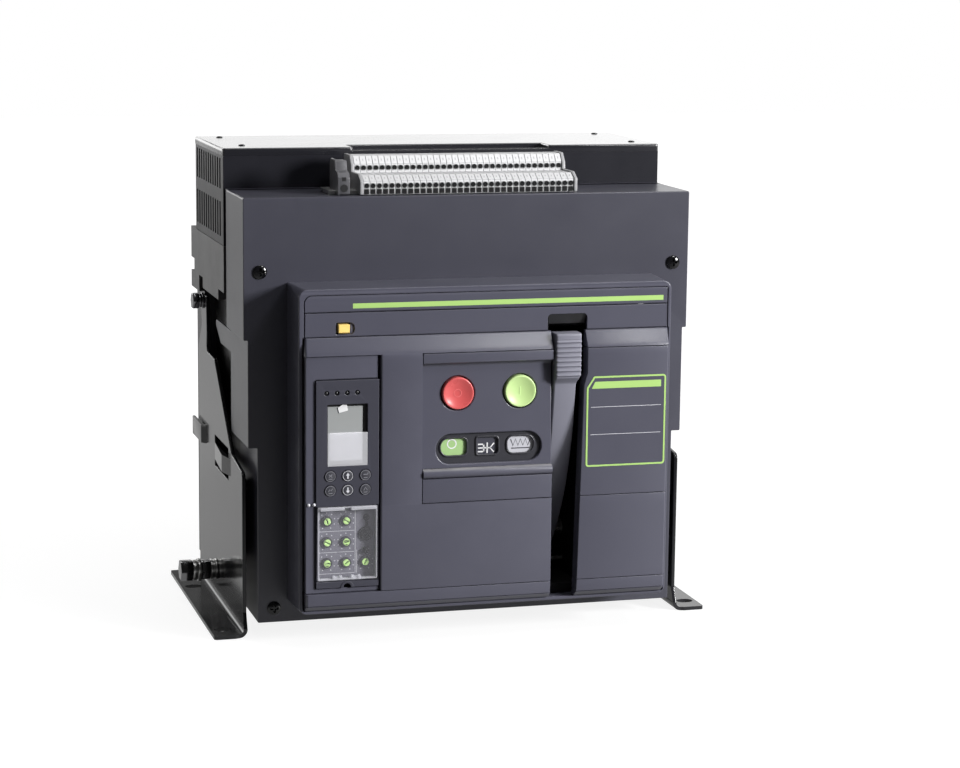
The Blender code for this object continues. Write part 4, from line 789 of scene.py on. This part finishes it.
def clear_finish(name, colour, roughness, square_on, edge_on):
    """A clear moulding or film: its alpha rises from square on to edge on, so its pale colour shows most edge
    on, as a painted sheen of reflected light.
    """
    material = finish(name, colour, roughness, grain_depth=0.0, mottle=0.0, edge_wear=0.0, dust=0.0)
    tree = material.node_tree
    turn = node(tree, "LayerWeight", {"Blend": 0.30})["Facing"]
    alpha = ranged(tree, turn, 0.0, 1.0, square_on, edge_on)
    tree.links.new(alpha, tree.nodes["Principled BSDF"].inputs["Alpha"])
    return material


# The pale veil and the opaque pale sheet under it are a painted reflection on the display's lower part
reflection_veil_clear = clear_finish("painted_reflection_veil", (0.86, 0.86, 0.90), 0.25, 0.30, 0.70)
film = front_slab([rectangle(-126.4, 147.0, -95.3, 172.8, 0.3, 2)], straight(-53.25, -53.1))
piece("display_reflection_veil", film, reflection_veil_clear)
reflection_sheet_white = finish("reflection_sheet", (0.66, 0.66, 0.69), 0.35, grain_depth=0.0, mottle=0.03, edge_wear=0.0)
reflection_sheet = front_slab([rectangle(-124.7, 150.6, -98.9, 172.4, 1.0)], soft(-50.9, -50.4, 0.2))
piece("display_reflection_sheet", reflection_sheet, reflection_sheet_white)
pull_edge = np.array([(-3.8, -2.2), (3.2, -2.8), (3.9, 1.6), (1.0, 3.0), (-3.4, 2.2)])
pull_turn = np.array([[0.94, 0.34], [-0.34, 0.94]])
white = print_finish("white_print", (0.75, 0.75, 0.76), 0.40)
pull_tab = front_slab([pull_edge @ pull_turn + (-114.2, 191.0)], soft(-50.9, -50.3, 0.1))
piece("film_tab", pull_tab, white)

# Keys. Six round dark film keys in the module's holes, each printed with a ring and a simple sign. They press
# in a short way. The two arrow keys are printed paler than the rest.
key_skin = finish("key_film", (0.040, 0.040, 0.050), 0.36, grain_depth=0.15)
dim_print = print_finish("dim_print", (0.24, 0.24, 0.27), 0.45)
key_disc = turned([(0, -53.9), (3.2, -53.85), (3.9, -53.6), (4.2, -53.0), (4.2, -48.0), (0, -48.0)], 32)
key_ring = slab([circle(0, 0, 3.95, 32), circle(0, 0, 3.65, 32)], straight(-53.95, -53.5))


def stroke(points, width):
    """A bent line of a given width as an outline: its points moved to one side, then back along the other."""
    path = np.array(points, float)
    side = np.gradient(path, axis=0)
    side = np.column_stack([-side[:, 1], side[:, 0]]) / np.linalg.norm(side, axis=1, keepdims=True)
    return np.concatenate([path - side * width / 2, (path + side * width / 2)[::-1]])


up_arrow = np.array([(-0.5, -2.2), (0.5, -2.2), (0.5, 0.3), (1.5, 0.3), (0.0, 2.4), (-1.5, 0.3), (-0.5, 0.3)])
under_bar = rectangle(-1.5, -2.2, 1.5, -1.7)
key_signs = [
    [stroke([(-1.3, 1.6), (1.3, -0.6)], 0.5), stroke([(1.3, 1.6), (-1.3, -0.6)], 0.5), under_bar],
    [up_arrow],
    [stroke([(1.9, 1.8), (1.5, 0.6), (-1.6, 0.6)], 0.5), under_bar],
    [stroke([(-1.6, -0.6), (-0.6, 1.2), (0.4, 0.0), (1.6, 1.7)], 0.5), under_bar],
    [up_arrow * (1, -1)],
    [stroke([(-1.4, -0.6), (0.0, 1.8), (1.4, -0.6)], 0.5), under_bar],
]
for number, ((x, z), sign) in enumerate(zip(key_places, key_signs), 1):
    key = f"key_{number}"
    piece(key + "_disc", moved(facing(key_disc, "front"), x, 0, z), key_skin, key, [key])
    marks = joined(key_ring, *[slab([outline], straight(-54.0, -53.7)) for outline in sign])
    ink = pale_print if number in (2, 5) else dim_print
    piece(key + "_sign", moved(facing(marks, "front"), x, 0, z), ink, key)

# Setting dials. Seven screwdriver-set dials with slotted lime knobs on dark skirts; dots printed round each and
# thin rules between the groups mark the positions.
lime = finish("lime_plastic", (0.48, 0.66, 0.27), 0.35, grain_depth=0.1)
pale_lime = finish("lime_knob", (0.64, 0.96, 0.34), 0.35, grain_depth=0.1)
dial_places = [(x, z) for z in (102.7, 86.1, 69.6) for x in (-125.4, -110.4)] + [(-95.4, 69.6)]
for number, ((x, z), turn) in enumerate(zip(dial_places, (110, 150, 155, 25, 5, 40, 65)), 1):
    dial = f"setting_dial_{number}"
    cosine, sine = math.cos(math.radians(turn)), math.sin(math.radians(turn))
    slot_edge = rectangle(-2.0, -0.42, 2.0, 0.42, 0.3, 2) @ np.array([[cosine, sine], [-sine, cosine]])
    knob = slab([circle(0, 0, 2.7, 28), slot_edge], soft(-48.0, -46.2, 0.4, steps=2))
    skirt = slab([circle(0, 0, 4.3, 28)], soft(-46.6, -45.1, 0.4, steps=2))
    piece(dial + "_knob", moved(facing(knob, "front"), x, 0, z), pale_lime, dial, [dial])
    piece(dial + "_skirt", moved(facing(skirt, "front"), x, 0, z), key_skin, dial)
DOT_RING = 6.4
dot_turns = np.radians(np.linspace(-60.0, 240.0, 9))
ring_points = DOT_RING * np.column_stack([np.cos(dot_turns), np.sin(dot_turns)])
dot = front_slab([circle(0, 0, 0.5, 8)], straight(WELL_Y - 0.08, WELL_Y))
dots = repeated(dot, [(x + aside, 0, z + above) for x, z in dial_places for aside, above in ring_points])
well_rules = [rectangle(-132.0, z, -103.6, z + 0.35) for z in (94.3, 77.7, 60.9)]
well_rules += [rectangle(-103.2, 60.9, -102.8, 114.0), rectangle(-102.0, 60.9, -101.6, 79.0)]
well_prints = joined(dots, *[printed([rule], WELL_Y) for rule in well_rules])
piece("dial_markings", well_prints, pale_print)

# Test port. A keyhole, a round grille and a small black test button that pushes in, at the right of the dials.
# Two small pale beads lie beside the clear cover's top left corner.
keyhole = np.concatenate([circle(0, 1.6, 1.9, 20)[np.r_[16:20, 0:15]], [(-0.9, -3.4), (0.9, -3.4)]])
grille_rings = [
    slab([circle(0, 0, bore + 0.5), circle(0, 0, bore)], soft(-46.2, -45.1, 0.2)) for bore in (1.4, 3.2, 5.0)
]
# A black disc behind the rings: painted shade in the grille's openings
grille_rings.append(slab([circle(0, 0, 5.2)], straight(-45.4, -45.0)))
port = moved(facing(joined(*grille_rings), "front"), -95.0, 0, 91.4)
piece("test_port_grille", port, black_moulding_and_shade)
# The keyhole is printed near-black: painted shade for the hole
keyhole_shade_print = moved(printed([keyhole * 1.3], WELL_Y, 0.4), -94.2, 0, 102.2)
piece("keyhole", keyhole_shade_print, black_and_hole_shade)
test_rows = [(0, -49.0), (1.6, -48.9), (2.2, -48.5), (2.4, -47.8), (2.4, -42.8), (0, -42.8)]
test_knob = moved(facing(turned(test_rows, 24), "front"), -95.0, 0, 78.6)
piece("test_knob", test_knob, black_and_hole_shade, "test_button", ["test_button"])
bead = turned([(1.3 * math.cos(a), 1.3 * math.sin(a)) for a in np.linspace(-math.pi / 2, math.pi / 2, 9)], 16)
beads = repeated(bead, [(-141.0, -52.0, 117.4), (-136.9, -52.6, 117.6)])
piece("pale_beads", beads, pale_print)

# Clear cover. A moulded see-through lid over the dials, hinged along its bottom edge on two pairs of lugs. It
# has finger lips at its top and is stiffened by a raised border.
# The cover's faint pale haze, rising edge on, is a painted sheen of reflected light
cover_clear_and_sheen = clear_finish("clear_cover_plastic_and_sheen", (0.74, 0.74, 0.80), 0.12, 0.04, 0.42)
cover_edge = rectangle(-134.2, 57.7, -87.5, 115.1, 0.8)
HINGE_Y, HINGE_Z = -51.5, 59.0
cover_sheet = front_slab([rectangle(-133.4, 58.5, -88.3, 114.3)], straight(-53.0, -52.3))
cover_inside = rectangle(-133.0, 58.9, -88.7, 113.9, 0.3, 2)
border = front_slab([cover_edge, cover_inside], soft(-53.4, -49.5, 0.3))
lips = [
    front_slab([rectangle(left, 112.6, right, 114.9, 0.7)], soft(-55.2, -53.2, 0.5))
    for left, right in ((-132.5, -113.5), (-108.5, -88.7))
]
lug_shape = rounded([(-53.4, 57.3), (-50.2, 57.3), (-50.2, 61.4), (-53.4, 61.4)], 1.59)
lugs = [
    side_slab([lug_shape], soft(left, left + 2.2, 0.3, 0.3)) for left in (-122.6, -117.4, -108.0, -102.8)
]
barrel = facing(turned([(0, 0), (1.5, 0), (1.5, 8.0), (0, 8.0)], 16), "side")
barrels = repeated(barrel, [(left, HINGE_Y, HINGE_Z) for left in (-122.9, -108.3)])
piece("clear_cover_lid", cover_sheet, cover_clear_and_sheen, "clear_cover", ["clear_cover"])
# The border's pale colour, nearly opaque edge on, paints bright highlights along the cover's edges
edge_sheen_clear = clear_finish("clear_cover_edge_sheen", (0.80, 0.80, 0.86), 0.10, 0.30, 0.90)
piece("clear_cover_border", joined(border, *lips, *lugs, barrels), edge_sheen_clear, "clear_cover")

# Push buttons. Dished red OFF and green ON buttons of glossy plastic in round holes of the leaning floor, and a
# small yellow reset button that stands in a shallow well of the upper band.
red = finish("red_plastic", (0.58, 0.09, 0.09), 0.28, grain_depth=0.1)
yellow = finish("yellow_plastic", (0.82, 0.57, 0.15), 0.30, grain_depth=0.1)
BUTTON_Y, DISH_DEPTH = -50.6, 2.2
dish = np.linspace(0.0, 0.90, 9) * BUTTON_RADIUS
dish_rows = list(zip(dish, BUTTON_Y + DISH_DEPTH * (1 - (dish / dish[-1]) ** 2)))
dish_rows += [(11.7, -50.65), (12.2, -50.4), (12.5, -49.9), (12.6, -49.3), (12.6, -40.5), (0, -40.5)]
dished = facing(turned(dish_rows, 64), "front")
off_sign = slab([circle(0, 0, 3.3), circle(0, 0, 2.5)], straight(-48.72, -48.4))
on_sign = slab([rectangle(-0.4, -3.6, 0.4, 3.6, 0.3)], straight(-48.72, -48.4))
off_cap = moved(joined(dished, facing(off_sign, "front")), OFF_X, 0, BUTTON_Z)
on_cap = moved(joined(dished, facing(on_sign, "front")), ON_X, 0, BUTTON_Z)
piece("off_button_cap", off_cap, red, "off_button", ["off_button"])
piece("on_button_cap", on_cap, lime, "on_button", ["on_button"])
reset_cap = front_slab([rectangle(-116.9, 248.3, -108.0, 255.0, 0.6)], soft(-47.4, -34.0, 0.6))
piece("reset_button_cap", reset_cap, yellow, "reset_button", ["reset_button"])
well_edges = [rectangle(-119.5, 246.0, -102.9, 257.2), rectangle(-117.9, 247.3, -107.1, 255.9)]
well_back = front_slab(well_edges, straight(-44.4, BACK_Y))
piece("reset_well", well_back, facia_skin)

# Indicator windows. A black pocket with three framed windows. Behind them slide plastic flags for the contacts,
# for ready to close and for the charged spring, each printed for its two states.
WINDOW_LOW, WINDOW_HIGH = 150.5, 163.5
windows = [
    rectangle(left, WINDOW_LOW, right, WINDOW_HIGH, radii, steps)
    for left, right, radii, steps in (
        (-36.0, -15.5, [6.2, 3.5, 3.5, 6.2], 8),
        (-7.0, 9.8, [1.2, 2.5, 2.5, 1.2], 5),
        (17.6, 38.6, [5.0, 6.2, 6.2, 5.0], 8),
    )
]
pocket_floor = leaning(slab([drawn_in(pocket, -1.5), *windows], soft(3.0, 3.5, 0.2)))
frames = [leaning(slab([drawn_in(opening, -1.4), opening], soft(2.0, 3.0, 0.5))) for opening in windows]
pocket_skin = finish("pocket_moulding", (0.030, 0.030, 0.037), 0.32, grain_depth=0.2)
piece("indicator_pocket", joined(pocket_floor, *frames), pocket_skin)
FLAG_FRONT, FLAG_BACK = -45.9, -45.0
FLAG_FOOT, FLAG_SPLIT, FLAG_TOP = 149.0, 164.2, 179.0
SHOWN_Z, HIDDEN_Z = 157.0, 171.4


def flag_field(left, low, right, high):
    """One coloured field of a sliding flag."""
    return front_slab([rectangle(left, low, right, high)], straight(FLAG_FRONT, FLAG_BACK))


def flag_sign(outlines, x, z):
    """A sign printed on a flag, round a middle point."""
    return moved(joined(*[printed([outline], FLAG_FRONT, 0.1) for outline in outlines]), x, 0, z)


pale_green = print_finish("pale_green_print", (0.34, 0.52, 0.22), 0.40)
silver = print_finish("silver_print", (0.50, 0.50, 0.54), 0.35)
open_field = flag_field(-39.1, FLAG_FOOT, -14.7, FLAG_SPLIT)
closed_field = flag_field(-39.1, FLAG_SPLIT, -14.7, FLAG_TOP)
piece("contact_flag_open", open_field, pale_green, "contact_flag", ["contact_flag"])
piece("contact_flag_closed", closed_field, red, "contact_flag")
ring_sign = moved(printed([circle(0, 0, 3.9), circle(0, 0, 3.0)], FLAG_FRONT, 0.1), -26.8, 0, SHOWN_Z + 2)
bar_sign = flag_sign([rectangle(-0.6, -4.0, 0.6, 4.0)], -26.9, HIDDEN_Z)
piece("contact_flag_signs", joined(ring_sign, bar_sign), white, "contact_flag")
ready_field = flag_field(-8.4, FLAG_FOOT, 11.4, FLAG_TOP)
piece("ready_flag_field", ready_field, unit_skin, "ready_flag", ["ready_flag"])
fork = [rectangle(-6.6, -3.4, -1.4, -2.4), rectangle(-6.6, -0.5, -1.4, 0.5), rectangle(-6.6, 2.4, -1.4, 3.4)]
fork += [rectangle(-2.4, -3.4, -1.4, 3.4), rectangle(0.4, -4.2, 1.4, 4.2), rectangle(-1.4, -0.5, 4.0, 0.5)]
fork += [stroke([(6.4, 3.6), (3.2, 0.0), (6.4, -3.6)], 1.0)]
ready_signs = joined(flag_sign(fork, 0.8, SHOWN_Z - 2.2), flag_sign(fork[:-1], 0.8, HIDDEN_Z))
piece("ready_flag_signs", ready_signs, white, "ready_flag")
free_field = flag_field(15.8, FLAG_FOOT, 40.4, FLAG_SPLIT)
charged_field = flag_field(15.8, FLAG_SPLIT, 40.4, FLAG_TOP)
piece("charge_flag_free", free_field, silver, "charge_flag", ["charge_flag"])
piece("charge_flag_charged", charged_field, yellow, "charge_flag")
coil_sign = stroke([(-8.0 + 2.0 * n, 2.6 * (-1) ** n) for n in range(9)], 0.8)
packed_sign = stroke([(-4.8 + 1.2 * n, 3.4 * (-1) ** n) for n in range(9)], 0.7)
base_sign = rectangle(-7.5, -5.0, 7.5, -4.2)
free_signs = flag_sign([coil_sign, base_sign], 28.6, SHOWN_Z + 1.2)
charge_signs = joined(free_signs, flag_sign([packed_sign], 28.6, HIDDEN_Z))
piece("charge_flag_signs", charge_signs, key_skin, "charge_flag")

# Charging handle. A grey moulded lever on a pin inside the mechanism: a wide ribbed grip at the top, a bowed
# arm that runs back into the slot and a round hub at its foot.
grip_grey = finish("grip_grey", (0.18, 0.18, 0.22), 0.40, grain_depth=0.25)


def curve(start, middle, end, share):
    """A quadratic curve: (1 - t)^2 start + 2 t (1 - t) middle + t^2 end."""
    t = share[:, None]
    return (1 - t) ** 2 * np.array(start) + 2 * t * (1 - t) * np.array(middle) + t**2 * np.array(end)


def lofted(fronts, backs, lefts, rights, radius=1.6):
    """A bar whose section at each station is an oblong with rounded corners: across from a left to a right x,
    and inwards along the line from a front to a back point (y, z). Both ends are filled."""
    angle = np.radians(np.linspace([180, 270, 0, 90], [270, 360, 90, 180], 5, axis=1).reshape(-1))
    at_right, at_back = np.repeat([0, 1, 1, 0], 5), np.repeat([0, 0, 1, 1], 5)
    along = backs - fronts
    depth = np.linalg.norm(along, axis=1, keepdims=True)
    width = (rights - lefts)[:, None]
    across = lefts[:, None] + radius + at_right * (width - 2 * radius) + radius * np.cos(angle)
    inward = radius + at_back * (depth - 2 * radius) + radius * np.sin(angle)
    place = fronts[:, None] + (along / depth)[:, None] * inward[..., None]
    stations, count = across.shape
    ends = np.array([np.arange(count), (stations - 1) * count + np.arange(count)])
    return np.concatenate([across[..., None], place], -1).reshape(-1, 3), [strips(stations, count), ends]


def eased(value, start, length):
    """A soft step from 0 to 1 over a length: t^2 (3 - 2 t)."""
    t = np.clip((value - start) / length, 0.0, 1.0)
    return t * t * (3 - 2 * t)


GRIP_FOOT, GRIP_ROUND, GRIP_TOP = 203.0, 1.6, 243.8
GRIP_FRONT, GRIP_BACK, LEVER_LEFT, LEVER_RIGHT = -50.5, -38.0, 53.7, 71.9
RIB_PITCH, RIB_HEIGHT, RIB_TOP = 3.75, 0.9, 237.5
share = np.linspace(0.0, 1.0, 25)
arm_front = curve((1.0, 69.0), (-44.0, 125.0), (GRIP_FRONT, GRIP_FOOT), share)
arm_back = curve((26.0, 83.0), (-34.0, 140.0), (GRIP_BACK, GRIP_FOOT), share)
grip_z = np.concatenate([np.arange(203.3, 243.0, 0.3), [243.2, 243.6, GRIP_TOP]])
swell = eased(grip_z, GRIP_FOOT, 8.0)
ribbed = (grip_z > 209.4) & (grip_z < 239.2)
ribs = ribbed * RIB_HEIGHT * np.maximum(np.cos((grip_z - RIB_TOP) * 2 * math.pi / RIB_PITCH), -0.3)
above_round = np.maximum(grip_z - (GRIP_TOP - GRIP_ROUND), 0.0)
top_round = GRIP_ROUND - np.sqrt(np.maximum(GRIP_ROUND**2 - above_round**2, 0.0))
grip_front = np.column_stack([GRIP_FRONT - 5.6 * swell - ribs + top_round, grip_z])
grip_back = np.column_stack([GRIP_BACK - 2.0 * swell - top_round, grip_z])
fronts, backs = np.concatenate([arm_front, grip_front]), np.concatenate([arm_back, grip_back])
rights = LEVER_RIGHT + 2.5 * eased(fronts[:, 1], 200.0, 14.6)
lever = lofted(fronts, backs, np.full(len(fronts), LEVER_LEFT), rights)
hub = side_slab([circle(15.0, 75.0, 14.0, 48)], soft(LEVER_LEFT, LEVER_RIGHT, 1.0, 1.0))
handle = joined(lever, hub)
piece("handle_lever", handle, grip_grey, "charging_handle", ["charging_handle"], sharp=50.0)

# Frame and lid screws. Black steel screws with cross recesses, through the frame's four corners into the base
# and through the lid's corners into the box.
screw_black = finish("black_screw", (0.004, 0.004, 0.005), 0.16, grain_depth=0.0, edge_wear=0.3)
CROSS_LENGTH, CROSS_WIDTH, CROSS_DEPTH = 0.62, 0.17, 0.75
END_SLOPE, SIDE_SLOPE, CROWN = 0.12, 0.07, 0.8


def screw_head(radius, height):
    """A cross-recess head on a polar grid: height * sqrt(1 - crown (r / R)^2), less the cross where it lies
    within two crossed bars, to a flat skirt. The cross's sizes are shares of the radius and the height."""
    ring = np.linspace(0.0, 1.0, 26)[:, None]
    spokes = 64
    angle = (np.arange(spokes) * 2 * math.pi / spokes)[None]
    x, y = ring * np.cos(angle), ring * np.sin(angle)

    def bar(long, wide):
        """How deep one bar of the cross is cut, from 0 to 1, with sloping ends and sides."""
        along = np.clip((CROSS_LENGTH - np.abs(long)) / END_SLOPE, 0, 1)
        return along * np.clip((CROSS_WIDTH - np.abs(wide)) / SIDE_SLOPE, 0, 1)

    top = height * np.sqrt(1 - CROWN * ring**2) - CROSS_DEPTH * height * np.maximum(bar(x, y), bar(y, x))
    points = np.stack([x * radius, y * radius, -top], -1)
    foot = np.concatenate([points[-1:] * (1, 1, 0), points[-1:] * (0, 0, 0)])
    points = np.concatenate([points, foot])
    return points.reshape(-1, 3), [strips(len(points), spokes)]


frame_corners = [(x, 0, z) for side, z in ((168, 290.5), (157.8, 24.5)) for x in (-side, side)]
frame_screws = repeated(facing(screw_head(5.4, 2.6), "front"), frame_corners)
head_points, head_faces = screw_head(2.7, 1.0)
lid_places = [(x, y, LID_TOP) for x, y in ((-164.5, 194.5), (-162, 106.6), (164.5, 194.5), (167, 104))]
lid_screws = repeated((head_points * (1, 1, -1), head_faces), lid_places)
piece("case_screws", joined(frame_screws, lid_screws), screw_black)

# Stage. A pale floor and a white surround under plain studio light: a key lamp from the right, weaker lamps
# from the top, the front and the rear, and the camera where the photograph was taken from.


def aimed(thing, place, target):
    """Puts a lamp at a place, pointing at a target."""
    thing.location = place
    direction = np.array(target) - np.array(place)
    thing.rotation_euler = Vector(direction).to_track_quat("-Z", "Y").to_euler()


def lamp(name, place, target, width, height, watts):
    """A rectangular area lamp that the camera doesn't see."""
    data = bpy.data.lights.new(name, "AREA")
    data.shape = "RECTANGLE"
    data.size = width
    data.size_y = height
    data.energy = watts
    thing = bpy.data.objects.new(name, data)
    bpy.context.scene.collection.objects.link(thing)
    aimed(thing, place, target)
    thing.visible_camera = False


lamp("key", (1.90, -1.75, 0.95), (0.0, -0.1, 0.2), 0.55, 0.55, 108.0)
lamp("top", (0.15, -0.40, 2.1), (0.0, -0.05, 0.25), 1.2, 1.0, 10.0)
lamp("front", (0.88, -1.30, 1.74), (0.0, -0.15, 0.25), 0.45, 0.45, 10.0)
lamp("rear", (-0.9, 1.9, 1.30), (0.0, 0.0, 0.25), 1.6, 0.6, 15.0)

# Floor: grey in the lamps' light, with a glow that the camera sees as white and glossy faces see as dim grey,
# apart from its front part, which they see dark
floor_mesh = bpy.data.meshes.new("floor")
floor_mesh.from_pydata([(-4, -1.05, 0), (4, -1.05, 0), (4, 6, 0), (-4, 6, 0)], [], [(0, 1, 2, 3)])
floor = bpy.data.objects.new("floor", floor_mesh)
bpy.context.scene.collection.objects.link(floor)
floor_material = bpy.data.materials.new("white_sweep")
floor_material.use_nodes = True
tree = floor_material.node_tree
shader = tree.nodes["Principled BSDF"]
shader.inputs["Base Color"].default_value = (0.20, 0.20, 0.20, 1.0)
shader.inputs["Roughness"].default_value = 0.7
path = node(tree, "LightPath")
place = node(tree, "SeparateXYZ", {"Vector": node(tree, "TexCoord")["Object"]})["Y"]
behind = ranged(tree, place, 0.3, 1.6, 0.86)
seen = maths(tree, "MAXIMUM", path["Is Camera Ray"], path["Is Transmission Ray"])
seen = maths(tree, "MULTIPLY", seen, behind)
beside = ranged(tree, place, -0.60, -0.10, 0.0, 0.35)
mirrored_share = maths(tree, "MULTIPLY", path["Is Glossy Ray"], beside)
level = maths(tree, "MAXIMUM", seen, mirrored_share)
glow = node(tree, "Emission", {"Color": (1.0, 1.0, 1.0, 1.0), "Strength": level})["Emission"]
blend = node(tree, "AddShader", {0: shader.outputs["BSDF"], 1: glow})["Shader"]
tree.links.new(blend, tree.nodes["Material Output"].inputs["Surface"])
floor_mesh.materials.append(floor_material)

# Surround: white to the camera and through glass. Glossy faces see it bright at the back, most of all at the
# left, dim high up except at the right, and almost dark in front
world = bpy.data.worlds.new("studio")
bpy.context.scene.world = world
world.use_nodes = True
tree = world.node_tree
path = node(tree, "LightPath")
heading = node(tree, "SeparateXYZ", {"Vector": node(tree, "TexCoord")["Generated"]})
behind = ranged(tree, heading["Y"], -0.2, 0.4, 0.05)
fading = ranged(tree, heading["X"], 0.1, 0.4, 1.15, 1.25)
behind = maths(tree, "MULTIPLY", behind, fading)
leftward = ranged(tree, heading["X"], -0.35, 0.0, 1.8, 1.0)
behind = maths(tree, "MULTIPLY", behind, leftward)
rightward = ranged(tree, heading["X"], 0.22, 0.32, 0.12)
low = ranged(tree, heading["Z"], 0.12, 0.20, 1.0, rightward)
behind = maths(tree, "MULTIPLY", behind, low)
mirrored_share = maths(tree, "MULTIPLY", path["Is Glossy Ray"], behind)
seen = maths(tree, "MAXIMUM", path["Is Camera Ray"], path["Is Transmission Ray"])
seen = maths(tree, "MAXIMUM", seen, mirrored_share)
level = maths(tree, "MAXIMUM", seen, 0.04)
tree.links.new(level, tree.nodes["Background"].inputs["Strength"])
tree.nodes["Background"].inputs["Color"].default_value = (1.0, 1.0, 1.0, 1.0)

# Camera: turned right by the yaw, down by the pitch, and about its own line of sight by the roll
YAW, PITCH, ROLL = math.radians(15.8835), math.radians(9.7516), math.radians(0.6311)
CAMERA_PLACE = (-0.5328, -2.0096, 0.5369)
forward = np.array([math.sin(YAW) * math.cos(PITCH), math.cos(YAW) * math.cos(PITCH), -math.sin(PITCH)])
right = np.array([math.cos(YAW), -math.sin(YAW), 0.0])
upwards = np.cross(right, forward)
across = math.cos(ROLL) * right + math.sin(ROLL) * upwards
above = math.cos(ROLL) * upwards - math.sin(ROLL) * right
LENS, SENSOR_WIDTH = 95.05, 36.0
camera_data = bpy.data.cameras.new("photo_camera")
camera_data.lens = LENS
camera_data.sensor_width = SENSOR_WIDTH
camera = bpy.data.objects.new("photo_camera", camera_data)
bpy.context.scene.collection.objects.link(camera)
pose = np.eye(4)
pose[:3] = np.column_stack([across, above, -forward, CAMERA_PLACE])
camera.matrix_world = Matrix(pose.tolist())
bpy.context.scene.camera = camera
bpy.context.scene.view_settings.view_transform = "Standard"
